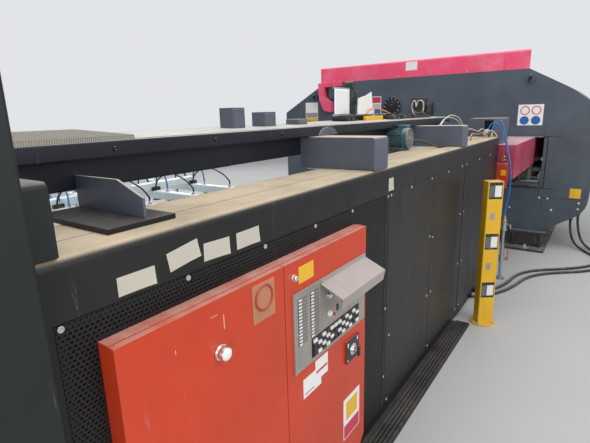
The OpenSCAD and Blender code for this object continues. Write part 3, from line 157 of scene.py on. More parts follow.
def wornPaint(name, colour, **look):
    # Sprayed or powder coated steel: slow colour drift, orange peel, rubbed spots and dust on top
    paint = Paint(name)
    cloud = paint.band(paint.noise(look.get("cloud", 1.8), 6, 0.62), 0.3, 0.72)
    stain = paint.band(paint.noise(look.get("stain", 9), 8, 0.7, (1, 1, look.get("drip", 0.35))), 0.46, 0.78)
    drift = look.get("drift", 0.12)
    body = paint.blend(cloud, tone(colour, 1 - drift), tone(colour, 1 + drift))
    body = paint.blend(stain * look.get("stains", 0.25), body, tone(look.get("stainColour", colour), 0.7))
    scratch = paint.band(paint.noise(look.get("scratch", 26), 12, 0.75, (1.0, 1.0, 0.12), 0.6), 0.62, 0.70)
    body = paint.blend(scratch * look.get("scratches", 0.15), body, tone(look.get("bare", (0.5, 0.5, 0.5)), 1))
    patches = paint.noise(look.get("dustSize", 5), 9, 0.7)
    dust = paint.upward() * paint.band(patches, look.get("dustLow", 0.18), 0.75)
    film = paint.band(paint.noise(2.3, 7, 0.7), 0.42, 0.85) * look.get("film", 0.08)
    dust = paint.node("ShaderNodeMath", {"operation": "MAXIMUM"}, {0: dust * look.get("dust", 0.5), 1: film})
    body = paint.blend(dust, body, tone(look.get("dustColour", (0.42, 0.38, 0.33)), 1))
    peel = paint.noise(look.get("peel", 420), 2, 0.5)
    paint.surface(Base_Color=body, Metallic=look.get("metallic", 0.0), Specular_IOR_Level=look.get("gloss", 0.5),
                  Roughness=look.get("rough", 0.42) + stain * 0.12 + dust * 0.35,
                  Normal=paint.bumps(peel * 0.6 + stain * 0.4, look.get("bump", 0.12), 0.0015))
    return paint.material


def bareSteel(name, colour, **look):
    # Ground, turned or rolled steel: fine lines along one direction, oil film and small spots
    paint = Paint(name)
    lines = paint.noise(look.get("lines", 60), 5, 0.6, look.get("grain", (1, 1, 12)))
    film = paint.band(paint.noise(3.5, 6, 0.65), 0.35, 0.7)
    spots = paint.band(paint.noise(38, 9, 0.72), 0.62, 0.7)
    body = paint.blend(lines, tone(colour, 0.86), tone(colour, 1.12))
    body = paint.blend(film * look.get("oil", 0.25), body, tone(colour, 0.62))
    body = paint.blend(spots * look.get("spots", 0.2), body, (0.20, 0.13, 0.08, 1))
    paint.surface(Base_Color=body, Metallic=look.get("metallic", 0.85),
                  Roughness=look.get("rough", 0.3) + lines * 0.18 + film * 0.1,
                  Normal=paint.bumps(lines, look.get("bump", 0.1), 0.0006))
    return paint.material


def softSkin(name, colour, **look):
    # Rubber, plastic and cable sheath: fine grain, scuffs and a little dust
    paint = Paint(name)
    grain = paint.noise(look.get("grain", 600), 3, 0.5)
    scuff = paint.band(paint.noise(look.get("scuff", 14), 8, 0.7), 0.5, 0.8)
    worn = look.get("worn", (0.4, 0.38, 0.35))
    body = paint.blend(scuff * look.get("scuffs", 0.3), tone(colour, 1), tone(worn, 1))
    dust = paint.upward() * look.get("dust", 0.25)
    body = paint.blend(dust, body, (0.42, 0.38, 0.33, 1))
    paint.surface(Base_Color=body, Roughness=look.get("rough", 0.5) + scuff * 0.2 + dust * 0.2,
                  Normal=paint.bumps(grain, look.get("bump", 0.15), 0.0005))
    return paint.material


def foldedCloth(name, colour, **look):
    # Coated cloth in narrow folds across the beam: painted shade in the fold valleys, fold tops in the cloth's own
    # colour, dust in patches, fine weave
    paint = Paint(name)
    # A wave of scale 1 has its bands pi / 10 apart
    scale = 2 * math.pi / 20 / look["pitch"]
    start = -20 * scale * look["valley"] % (2 * math.pi)
    folds = paint.node("ShaderNodeTexWave", {"wave_type": "BANDS", "bands_direction": "X"},
                       {"Vector": paint.places(), "Scale": scale, "Phase Offset": start}, output=1)
    dusty = paint.band(paint.noise(7, 7, 0.7), 0.25, 0.75)
    # Painted shade: the fold valleys darkened to 0.30 of the colour, lined up with the folds of the cover
    body = paint.blend(paint.band(folds, 0.05, 0.75), tone(colour, 0.30), tone(colour, 1.08))
    body = paint.blend(dusty * 0.35, body, (0.42, 0.37, 0.31, 1))
    paint.surface(Base_Color=body, Roughness=0.72 + dusty * 0.15,
                  Normal=paint.bumps(paint.noise(900, 3, 0.5), 0.2, 0.0004))
    return paint.material


dustBeige = (0.58, 0.475, 0.335)
paints = {
    "frame": wornPaint("framePaint", (0.060, 0.078, 0.102), drift=0.16, stains=0.3, dust=0.55, film=0.05,
        rough=0.36),
    "feet": wornPaint("footPaint", (0.020, 0.020, 0.022), dust=0.6, scratches=0.4, rough=0.5),
    "coverRed": wornPaint("coverRed", (0.80, 0.075, 0.17), dustLow=-0.15, drift=0.08, stains=0.15, dust=0.4,
        film=0.32, dustColour=(0.94, 0.60, 0.67), rough=0.33),
    "carriageRed": wornPaint("carriageRed", (0.42, 0.035, 0.085), dustLow=-0.15, drift=0.12, stains=0.3, dust=0.9,
        film=0.38, dustColour=(0.56, 0.43, 0.45), scratches=0.6, bare=(0.75, 0.72, 0.70), rough=0.35),
    "guide": bareSteel("guideSteel", (0.62, 0.63, 0.65)),
    "tool": bareSteel("toolSteel", (0.58, 0.59, 0.60), grain=(1, 1, 1), oil=0.4),
    "turret": bareSteel("turretSteel", (0.34, 0.36, 0.39), grain=(1, 1, 9), oil=0.5, rough=0.36),
    "motor": wornPaint("motorPaint", (0.075, 0.082, 0.095), dust=0.5, rough=0.45),
    "table": wornPaint("tablePaint", (0.20, 0.21, 0.225), dust=0.35, scratches=0.5, rough=0.45),
    "brush": softSkin("brushHair", (0.016, 0.016, 0.018), grain=900, rough=0.7, dust=0.15),
    "black": wornPaint("panelBlack", (0.0125, 0.0125, 0.014), drift=0.18, stains=0.4, stain=5, film=0.025,
        gloss=0.28, dust=0.6, dustColour=(0.16, 0.145, 0.13), rough=0.38, bump=0.08),
    # Near black of the end column; on the near beam block it is painted shade
    "column": wornPaint("columnBlack", (0.013, 0.017, 0.017), drift=0.1, film=0.015, gloss=0.3, dust=0.5,
        rough=0.5),
    "block": wornPaint("blockGrey", (0.094, 0.108, 0.145), drift=0.2, stains=0.3, dust=0.95, film=0.06,
        dustLow=-0.15, dustColour=dustBeige, rough=0.38),
    "beam": wornPaint("beamBlue", (0.010, 0.0125, 0.019), gloss=0.3, drift=0.2, stains=0.25, dust=1.0, film=0.01,
        dustSize=2.2, dustLow=-0.15, dustColour=(0.55, 0.535, 0.49), rough=0.4),
    "orange": wornPaint("cabinetOrange", (0.53, 0.040, 0.0085), drift=0.07, stains=0.18,
        stainColour=(0.4, 0.1, 0.05), dust=1.0, dustColour=(0.58, 0.34, 0.28), film=0.04, rough=0.38),
    "dusty": wornPaint("dustyTop", (0.0125, 0.013, 0.013), gloss=0.3, dust=1.0, dustLow=-0.15, dustSize=2.2,
        dustColour=dustBeige, rough=0.45, stains=0.4, film=0.02),
    # Bellows cloth, with painted shade in its fold valleys
    "bellows": foldedCloth("bellowsCloth", (0.36, 0.345, 0.30), pitch=615 / 94 / 1000, valley=-6.3695),
    "teal": wornPaint("motorTeal", (0.040, 0.115, 0.135), dust=0.6, rough=0.42),
    "loaderGrey": wornPaint("loaderGrey", (0.11, 0.12, 0.135), dust=0.5),
    "paleBlue": wornPaint("suctionBlue", (0.80, 0.93, 1.0), dust=0.2, dustColour=(0.62, 0.60, 0.56), scratches=0.3),
    "chrome": bareSteel("knobChrome", (0.80, 0.80, 0.80), rough=0.12, oil=0.1, spots=0.05, metallic=1.0),
    "panel": wornPaint("panelGrey", (0.32, 0.30, 0.27), stains=0.35, stain=22, dust=0.3, rough=0.36, metallic=0.3),
    "hood": wornPaint("hoodSteel", (0.375, 0.335, 0.313), metallic=0.25, dust=0.3, dustColour=(0.50, 0.44, 0.41),
        rough=0.36),
    "zinc": bareSteel("zincPlated", (0.52, 0.51, 0.48), grain=(1, 1, 1), rough=0.38, spots=0.4, metallic=0.7),
    "paper": softSkin("paleCard", (0.50, 0.475, 0.40), grain=900, rough=0.75, bump=0.05, worn=(0.40, 0.36, 0.30),
        dust=0.4),
    "white": softSkin("whiteEnamel", (0.78, 0.78, 0.76), rough=0.4, bump=0.04, worn=(0.55, 0.53, 0.5)),
    "blueField": softSkin("blueEnamel", (0.02, 0.10, 0.36), rough=0.4, bump=0.04, scuffs=0.15),
    "glass": softSkin("windowGlass", (0.12, 0.13, 0.135), rough=0.12, bump=0.02, worn=(0.2, 0.2, 0.2)),
    "legend": softSkin("legendGrey", (0.16, 0.155, 0.14), rough=0.5, bump=0.03, worn=(0.3, 0.29, 0.26)),
    "brown": wornPaint("brownPlate", (0.46, 0.20, 0.10), rough=0.5, stains=0.4),
    "rust": wornPaint("ringRed", (0.38, 0.045, 0.022), rough=0.5, stains=0.4),
    # Near black: the colour of dark trims, and painted shade behind the perforated sheet, under the louvres and
    # behind the fan grille
    "dark": softSkin("darkTrimAndShade", (0.008, 0.008, 0.009), rough=0.8, scuffs=0.1),
    "redPlastic": softSkin("redPlastic", (0.55, 0.03, 0.02), rough=0.3, dust=0.15, scuffs=0.1),
    "crimson": softSkin("crimsonEnamel", (0.50, 0.025, 0.08), rough=0.4, dust=0.15, scuffs=0.1),
    "greenPlastic": softSkin("greenPlastic", (0.02, 0.26, 0.10), rough=0.3, dust=0.15, scuffs=0.1),
    "blackPlastic": softSkin("blackPlastic", (0.018, 0.018, 0.019), rough=0.38),
    "yellow": wornPaint("postYellow", (0.76, 0.44, 0.014), drift=0.06, stains=0.2, stainColour=(0.4, 0.25, 0.05),
        dust=0.4, film=0.03, scratches=0.3, bare=(0.2, 0.17, 0.12), rough=0.36),
    "pipe": bareSteel("pipeSteel", (0.40, 0.41, 0.43), spots=0.5, rough=0.42),
    "brass": bareSteel("brassFitting", (0.62, 0.46, 0.22), grain=(1, 1, 1), rough=0.32),
    "hose": softSkin("hoseBlue", (0.02, 0.16, 0.46), rough=0.35, scuffs=0.15),
    "paleHose": softSkin("paleTube", (0.62, 0.58, 0.46), rough=0.35, scuffs=0.2),
    "orangeHose": softSkin("orangeTube", (0.72, 0.22, 0.05), rough=0.4, scuffs=0.2),
    "cable": softSkin("cableSheath", (0.014, 0.014, 0.015), rough=0.5, scuffs=0.35),
}
print("stage: paints mixed")


# Camera, light and floor
view = {"place": (-6.6, -2.24, 1.70), "yaw": 35.41, "pitch": 13.80, "roll": 1.57, "lens": 26.60}


def addCamera():
    yaw, pitch, roll = (math.radians(view[k]) for k in ("yaw", "pitch", "roll"))
    ahead = Vector((math.cos(yaw) * math.cos(pitch), math.sin(yaw) * math.cos(pitch), -math.sin(pitch)))
    level = Vector((math.sin(yaw), -math.cos(yaw), 0))
    down = ahead.cross(level)
    right = math.cos(roll) * level + math.sin(roll) * down
    below = math.cos(roll) * down - math.sin(roll) * level
    data = bpy.data.cameras.new("photoCamera")
    data.lens, data.sensor_width, data.sensor_fit = view["lens"], 36, "HORIZONTAL"
    data.clip_start, data.clip_end = 0.05, 200
    camera = bpy.data.objects.new("photoCamera", data)
    camera.matrix_world = Matrix.Translation(view["place"]) @ Matrix(
        ((right.x, -below.x, -ahead.x), (right.y, -below.y, -ahead.y), (right.z, -below.z, -ahead.z))).to_4x4()
    bpy.context.scene.collection.objects.link(camera)
    bpy.context.scene.camera = camera


lampPlan = {
    "roofLight": {"place": (-3.2, -1.0, 7.5), "aim": (-2.6, -0.4, 0.8), "size": 8.0, "power": 420},
    "frontLight": {"place": (-5.5, -8.5, 5.0), "aim": (-2.6, -0.5, 1.0), "size": 6.0, "power": 330},
    "sideLight": {"place": (-9.1, -3.3, 1.6), "aim": (-6.1, -1.4, 0.8), "size": 2.0, "power": 55},
    "backLight": {"place": (2.5, 7.5, 5.5), "aim": (-2.0, 0.0, 1.0), "size": 6.0, "power": 260},
}
skyPlan = {"colour": (0.80, 0.82, 0.85, 1), "lighting": 0.55, "seen": 0.95}


def addLight():
    for name, plan in lampPlan.items():
        data = bpy.data.lights.new(name, "AREA")
        data.size, data.energy = plan["size"], plan["power"]
        lamp = bpy.data.objects.new(name, data)
        lamp.location = plan["place"]
        lamp.rotation_euler = (Vector(plan["aim"]) - Vector(plan["place"])).to_track_quat("-Z", "Y").to_euler()
        bpy.context.scene.collection.objects.link(lamp)
    world = bpy.data.worlds.new("studio")
    world.use_nodes = True
    bpy.context.scene.world = world
    tree = world.node_tree
    back = tree.nodes["Background"]
    back.inputs["Color"].default_value = skyPlan["colour"]
    # The sky is brighter where a ray sees it straight away than where it lights the part
    path = tree.nodes.new("ShaderNodeLightPath")
    seen = path.outputs["Is Camera Ray"]
    for ray in ("Is Glossy Ray", "Is Transmission Ray"):
        either = tree.nodes.new("ShaderNodeMath")
        either.operation = "MAXIMUM"
        tree.links.new(seen, either.inputs[0])
        tree.links.new(path.outputs[ray], either.inputs[1])
        seen = either.outputs[0]
    strength = tree.nodes.new("ShaderNodeMapRange")
    strength.inputs["To Min"].default_value = skyPlan["lighting"]
    strength.inputs["To Max"].default_value = skyPlan["seen"]
    tree.links.new(seen, strength.inputs["Value"])
    tree.links.new(strength.outputs[0], back.inputs["Strength"])
    bpy.context.scene.view_settings.view_transform = "Standard"


def addFloor():
    bpy.ops.object.select_all(action="DESELECT")
    bpy.ops.mesh.primitive_plane_add(size=60, location=(-2, 0, -0.0005))
    floor = bpy.context.object
    floor.name = "studioFloor"
    paint = Paint("paleFloor")
    cloud = paint.noise(0.6, 6, 0.6)
    paint.surface(Base_Color=paint.blend(cloud, (0.42, 0.42, 0.42, 1), (0.50, 0.50, 0.495, 1)), Roughness=0.7)
    floor.data.materials.append(paint.material)


addCamera()
addLight()
addFloor()
print("stage: camera, light and floor")


# Free lines: the same routes as the solids, with their points in millimetres
lines = {
    "airHoseBlue": {"node": "air_hose", "diameter": 0.012,
        "paint": "hose", "slot": "hose_blue", "stiffness": "medium",
        "points": [(-2010, -1330, 1446), (-2010, -1330, 1500), (-2008, -1342, 1552), (-2005, -1364, 1586),
                   (-2002, -1393, 1590), (-1999, -1420, 1554), (-1997, -1440, 1490), (-1994, -1466, 1390),
                   (-1991, -1496, 1265), (-1988, -1520, 1130), (-1984, -1530, 1000), (-1976, -1524, 880),
                   (-1960, -1510, 775), (-1945, -1500, 700), (-1945, -1500, 640)]},
    "powerCableA": {"node": "power_cable_a", "diameter": 0.028,
        "paint": "cable", "slot": "cable_black", "stiffness": "stiff",
        "points": [(-300, -1990, 350), (-300, -1990, 290), (-305, -2000, 210), (-330, -2020, 130), (-375, -2055, 70),
                   (-440, -2105, 32), (-560, -2190, 15), (-700, -2270, 15), (-850, -2310, 15), (-1010, -2290, 15),
                   (-1150, -2215, 15), (-1270, -2110, 15), (-1380, -1985, 15), (-1480, -1860, 15), (-1590, -1750, 15),
                   (-1720, -1670, 15), (-1870, -1625, 15), (-2030, -1600, 15), (-2180, -1565, 15), (-2300, -1515, 15),
                   (-2390, -1455, 15), (-2432, -1405, 15), (-2440, -1379, 15), (-2440, -1365, 15)]},
    "powerCableB": {"node": "power_cable_b", "diameter": 0.028,
        "paint": "cable", "slot": "cable_black", "stiffness": "stiff",
        "points": [(-200, -2060, 400), (-200, -2060, 330), (-206, -2072, 240), (-235, -2095, 150), (-290, -2130, 80),
                   (-370, -2185, 34), (-500, -2270, 15), (-660, -2350, 15), (-850, -2395, 15), (-1050, -2375, 15),
                   (-1220, -2290, 15), (-1360, -2165, 15), (-1480, -2020, 15), (-1600, -1885, 15), (-1740, -1780, 15),
                   (-1900, -1715, 15), (-2080, -1675, 15), (-2250, -1625, 15), (-2400, -1555, 15), (-2520, -1470, 15),
                   (-2578, -1410, 15), (-2590, -1379, 15), (-2590, -1365, 15)]},
}


def smoothRoute(points, steps=4):
    # A Catmull-Rom curve through the route's points, with steps places for each stretch
    route = []
    for i in range(len(points) - 1):
        before, start = points[max(i - 1, 0)], points[i]
        end, after = points[i + 1], points[min(i + 2, len(points) - 1)]
        for k in range(steps):
            t = k / steps
            route.append(0.5 * (2 * start + (end - before) * t + (2 * before - 5 * start + 4 * end - after) * t ** 2
                                + (3 * start - before - 3 * end + after) * t ** 3))
    return route + [points[-1]]


def roundCurve(name, route, diameter, resolution):
    curve = bpy.data.curves.new(name, "CURVE")
    curve.dimensions = "3D"
    curve.bevel_depth, curve.bevel_resolution, curve.use_fill_caps = diameter / 2, resolution, True
    spline = curve.splines.new("POLY")
    spline.points.add(len(route) - 1)
    for point, place in zip(spline.points, route):
        point.co = (*place, 1)
    piece = bpy.data.objects.new(name, curve)
    bpy.context.scene.collection.objects.link(piece)
    return piece


def addLine(name, plan):
    route = smoothRoute([Vector(p) / 1000 for p in plan["points"]])
    cord = roundCurve(name, route, plan["diameter"], 3)
    cord.data.materials.append(paints[plan["paint"]])
    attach(cord, "frame")
    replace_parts(cord, plan["node"])
    length = sum((b - a).length for a, b in zip(route, route[1:]))
    print("stage: line", name, round(length, 3))


for name, plan in lines.items():
    addLine(name, plan)


# Modelling helpers: sizes in millimetres, places kept in the mesh
def deselect():
    if bpy.context.object and bpy.context.object.mode != "OBJECT":
        bpy.ops.object.mode_set(mode="OBJECT")
    bpy.ops.object.select_all(action="DESELECT")


def pick(piece):
    deselect()
    piece.select_set(True)
    bpy.context.view_layer.objects.active = piece
    return piece


def settle(piece):
    pick(piece)
    bpy.ops.object.transform_apply(location=True, rotation=True, scale=True)
    return piece


def pickFaces(piece, test):
    # Edit mode with only those faces selected that pass the test
    pick(piece)
    bpy.ops.object.mode_set(mode="EDIT")
    bpy.ops.mesh.select_mode(type="FACE")
    bpy.ops.mesh.select_all(action="DESELECT")
    bpy.ops.object.mode_set(mode="OBJECT")
    for face in piece.data.polygons:
        face.select = test(face)
    bpy.ops.object.mode_set(mode="EDIT")


def shaped(piece, kind, **values):  # adds a modifier and applies it
    pick(piece)
    modifier = piece.modifiers.new(kind, kind)
    for key, value in values.items():
        setattr(modifier, key, value)
    bpy.ops.object.modifier_apply(modifier=modifier.name)
    return piece


def softEdges(piece, width, segments=2, angle=30):
    return shaped(piece, "BEVEL", width=width / 1000, segments=segments, limit_method="ANGLE",
                  angle_limit=math.radians(angle))


def slab(name, low, high, edge=0.0, segments=2):
    deselect()
    low, high = Vector(low) / 1000, Vector(high) / 1000
    bpy.ops.mesh.primitive_cube_add(size=1, location=(low + high) / 2)
    piece = bpy.context.object
    piece.name = name
    piece.scale = high - low
    settle(piece)
    return softEdges(piece, edge, segments) if edge else piece


def turned(name, start, end, radius, sides=28, edge=0.0, tip=None):
    # A round piece from start to end, with another radius at its end if tip is given
    deselect()
    start, end = Vector(start) / 1000, Vector(end) / 1000
    axis = end - start
    bpy.ops.mesh.primitive_cone_add(vertices=sides, radius1=radius / 1000, depth=axis.length,
                                    radius2=(radius if tip is None else tip) / 1000, location=(start + end) / 2,
                                    rotation=axis.to_track_quat("Z", "Y").to_euler())
    piece = bpy.context.object
    piece.name = name
    settle(piece)
    return softEdges(piece, edge, 2, 40) if edge else piece


def ring(name, centre, axis, radius, wire, sides=40):
    deselect()
    bpy.ops.mesh.primitive_torus_add(major_radius=radius / 1000, minor_radius=wire / 1000, major_segments=sides,
                                     minor_segments=10, location=Vector(centre) / 1000,
                                     rotation=Vector(axis).to_track_quat("Z", "Y").to_euler())
    piece = bpy.context.object
    piece.name = name
    return settle(piece)


def domed(name, centre, axis, radius, height, sides=16):
    # Half a flattened ball that stands on a face, such as a screw head
    deselect()
    turn = Vector(axis).to_track_quat("Z", "Y")
    bpy.ops.mesh.primitive_uv_sphere_add(segments=sides, ring_count=8, radius=1, location=Vector(centre) / 1000,
                                         rotation=turn.to_euler())
    piece = bpy.context.object
    piece.name = name
    piece.scale = (radius / 1000, radius / 1000, height / 1000)
    settle(piece)
    bpy.ops.object.mode_set(mode="EDIT")
    bpy.ops.mesh.select_all(action="SELECT")
    bpy.ops.mesh.bisect(plane_co=Vector(centre) / 1000, plane_no=Vector(axis), use_fill=True, clear_inner=True)
    bpy.ops.object.mode_set(mode="OBJECT")
    return piece


def outlined(name, points, axis, start, end, edge=0.0):
    # A flat outline pushed through from start to end along an axis; points lie in the other two axes in order
    deselect()
    spread = {"x": lambda a, b, d: (d, a, b), "y": lambda a, b, d: (a, d, b), "z": lambda a, b, d: (a, b, d)}[axis]
    mesh = bpy.data.meshes.new(name)
    mesh.from_pydata([Vector(spread(a, b, start)) / 1000 for a, b in points], [], [list(range(len(points)))])
    piece = bpy.data.objects.new(name, mesh)
    bpy.context.scene.collection.objects.link(piece)
    pick(piece)
    bpy.ops.object.mode_set(mode="EDIT")
    bpy.ops.mesh.select_all(action="SELECT")
    push = Vector(spread(0, 0, (end - start) / 1000))
    bpy.ops.mesh.extrude_region_move(TRANSFORM_OT_translate={"value": push})
    bpy.ops.mesh.select_all(action="SELECT")
    bpy.ops.mesh.normals_make_consistent(inside=False)
    bpy.ops.object.mode_set(mode="OBJECT")
    return softEdges(piece, edge) if edge else piece


def copied(piece, name, move, turn=0.0, about=(0, 0, 0)):
    # A copy with its own mesh, turned about the vertical through a point and then moved
    other = bpy.data.objects.new(name, piece.data.copy())
    bpy.context.scene.collection.objects.link(other)
    centre = Vector(about) / 1000
    other.data.transform(Matrix.Translation(Vector(move) / 1000) @ Matrix.Translation(centre)
                         @ Matrix.Rotation(turn, 4, "Z") @ Matrix.Translation(-centre))
    return other


def swung(piece, x, z, turn):
    # Turned about a line along y, from the origin to that line's place
    piece.data.transform(Matrix.Translation((x / 1000, 0, z / 1000)) @ Matrix.Rotation(turn, 4, "Y"))
    return piece


def repeated(piece, count, step, **values):
    # A row of the same shape; step is one place to the next, in millimetres
    return shaped(piece, "ARRAY", count=count, use_relative_offset=False, use_constant_offset=True,
                  constant_offset_displace=[size / 1000 for size in step], **values)


def gathered(name, parts):
    parts = list(parts)
    pick(parts[0])
    for part in parts:
        part.select_set(True)
    if len(parts) > 1:
        bpy.ops.object.join()
    parts[0].name = name
    return parts[0]


def dressed(piece, body, paint, angle=35):
    # Paint, shading and body of a finished piece
    piece.data.materials.clear()
    piece.data.materials.append(paints[paint])
    pick(piece)
    bpy.ops.object.shade_smooth_by_angle(angle=math.radians(angle))
    shaped(piece, "WEIGHTED_NORMAL", keep_sharp=True)
    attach(piece, body)
    return piece


def built(name, parts, body, paint, angle=35):
    # Parts joined to one piece and painted
    return dressed(gathered(name, parts), body, paint, angle)


# The solids: paint for each node, and a copy with soft edges where the real piece has them
nodePaint = {
    "frame": "bridge_frame leg_cover_plates frame_fittings", "feet": "frame_feet", "column": "end_column",
    "coverRed": "top_covers side_guard", "carriageRed": "carriage_cover",
    "guide": "ram_cylinder striker y_screw x_rails x_slide",
    "tool": "punch_tools die_set clamp_jaws clamp_bodies scrap_chute",
    "turret": "upper_turret lower_turret upper_bearing lower_bearing y_rails", "motor": "turret_motors y_nut_drive",
    "table": "center_table side_tables carriage_beam carriage_saddles", "brush": "brush_strips",
    "black": "loader_panels perforated_panel loader_base floor_duct", "block": "beam_brackets carriage_box",
    "orange": "end_control_box cabinet_body cabinet_door_left cabinet_door_right",
    "dusty": "loader_top", "beam": "loader_beam beam_fittings", "bellows": "beam_bellows", "teal": "drive_motor",
    "loaderGrey": "loader_carriage", "paleBlue": "suction_frame",
    "chrome": "door_knob_left door_knob_right key_switch",
    "panel": "control_panel", "hood": "panel_hood", "redPlastic": "emergency_button valve_handle",
    "greenPlastic": "start_button", "blackPlastic": "main_switch", "yellow": "light_post", "pipe": "air_riser",
}
edgeWidth = {
    "bridge_frame": 6, "side_guard": 1.5, "carriage_cover": 2, "carriage_box": 4, "end_control_box": 4,
    "end_column": 3, "loader_beam": 8, "cabinet_body": 2, "cabinet_door_left": 3, "cabinet_door_right": 3,
    "light_post": 2, "frame_feet": 3, "loader_carriage": 3, "center_table": 2, "carriage_beam": 2,
    "carriage_saddles": 2, "loader_top": 1,
}
endRecess = ((-490, 2125, 770), (490, 2200, 1580))


def paintNodes():
    for paint, names in nodePaint.items():
        for name in names.split():
            node = frame["nodes"][name]
            node.data.materials.clear()
            node.data.materials.append(paints[paint])
            if name in edgeWidth:
                softenNode(name, paint, edgeWidth[name])


def mergedCopy(name):
    # The mesh of a node as one closed shell, without the flat edges of its triangles
    node = frame["nodes"][name]
    words = name.split("_")
    copy = bpy.data.objects.new(words[0] + "".join(w.title() for w in words[1:]), node.data.copy())
    bpy.context.scene.collection.objects.link(copy)
    pick(copy)
    bpy.ops.object.mode_set(mode="EDIT")
    bpy.ops.mesh.select_all(action="SELECT")
    bpy.ops.mesh.remove_doubles(threshold=0.00002)
    bpy.ops.mesh.dissolve_limited(angle_limit=math.radians(1))
    bpy.ops.mesh.select_all(action="DESELECT")
    bpy.ops.object.mode_set(mode="OBJECT")
    return copy


def sinkEnd(copy):
    # A shallow recess in the left end of the frame, where its cover sits
    cutter = slab("cutter", *endRecess)
    shaped(copy, "BOOLEAN", operation="DIFFERENCE", object=cutter, solver="EXACT")
    bpy.data.objects.remove(cutter)


def softenNode(name, paint, width):
    node = frame["nodes"][name]
    copy = mergedCopy(name)
    if name == "bridge_frame":
        sinkEnd(copy)
    softEdges(copy, width, 2, 40)
    dressed(copy, node["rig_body"], paint)
    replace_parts(copy, name)


paintNodes()
print("stage: nodes painted")


def boltHead(radius, height, facing):
    # Round head with a sunk socket, standing on the plane through the origin
    deselect()
    bpy.ops.mesh.primitive_cylinder_add(vertices=16, radius=radius / 1000, depth=height / 1000,
                                        location=(0, 0, height / 2000))
    piece = settle(bpy.context.object)
    pickFaces(piece, lambda face: face.normal.z > 0.9)
    bpy.ops.mesh.inset(thickness=radius * 0.5 / 1000)
    bpy.ops.mesh.extrude_region_move(TRANSFORM_OT_translate={"value": (0, 0, -height * 0.55 / 1000)})
    bpy.ops.object.mode_set(mode="OBJECT")
    softEdges(piece, min(radius, height) * 0.28, 2, 50)
    piece.rotation_euler = Vector(facing).to_track_quat("Z", "Y").to_euler()
    return settle(piece)


def spread(unit, name, places):
    # Copies of a unit at each place, joined to one piece; the unit itself goes
    pieces = [copied(unit, name, place) for place in places]
    bpy.data.objects.remove(unit)
    return gathered(name, pieces)


def addBolts(name, size, facing, places, body, paint="zinc"):
    # Heads of one size (radius, height) on the places that they stand on
    dressed(spread(boltHead(*size, facing), name, places), body, paint)


# The loader's front: perforated sheet round the cabinet with painted shade behind its holes, plain panels, screws and
# paper tags
loaderFront = {
    "front": -1393, "low": 115, "high": 1304, "thick": 2.6, "pitch": 12.0, "hole": 3.8,
    "backing": (-6214, -4604, 118, 1300), "behind": (32, 34), "panelThick": 3, "screw": (7.5, 3.6),
    "perforated": {"sheetLeft": (-6238, -6147, 115, 1304), "sheetAbove": (-6147, -4978, 1228, 1304),
                   "sheetBelow": (-6147, -4978, 115, 158), "sheetRightLow": (-4978, -4602, 115, 700),
                   "sheetRightHigh": (-4978, -4602, 700, 1304)},
    "panels": [(-4598.5, -3911.5), (-3908.5, -3181.5), (-3178.5, -1971.5)],
    "screws": [(-6226, 1296), (-5895, 1296), (-5577, 1296), (-5281, 1296), (-4614, 1296), (-4575, 1296),
               (-4296, 1296), (-3949, 1296), (-3603, 1296), (-3264, 1296), (-3147, 1296), (-2735, 1296),
               (-2324, 1296), (-3942, 925), (-3882, 907), (-3870, 525), (-3950, 525), (-3881, 130),
               (-4560, 522), (-4571, 129), (-4620, 700), (-4620, 300), (-3238, 930), (-3138, 930), (-3215, 525),
               (-3103, 517), (-3215, 135), (-3110, 135), (-2010, 930), (-2010, 520), (-2010, 135), (-6228, 700),
               (-6228, 140), (-4988, 1296)],
    "tags": [(-6093, -5992, 1315, 1360, 0), (-5952, -5850, 1335, 1385, 9), (-5834, -5735, 1320, 1370, -2),
             (-5705, -5603, 1320, 1370, 1), (-4608, -4551, 1320, 1383, 0)],
}


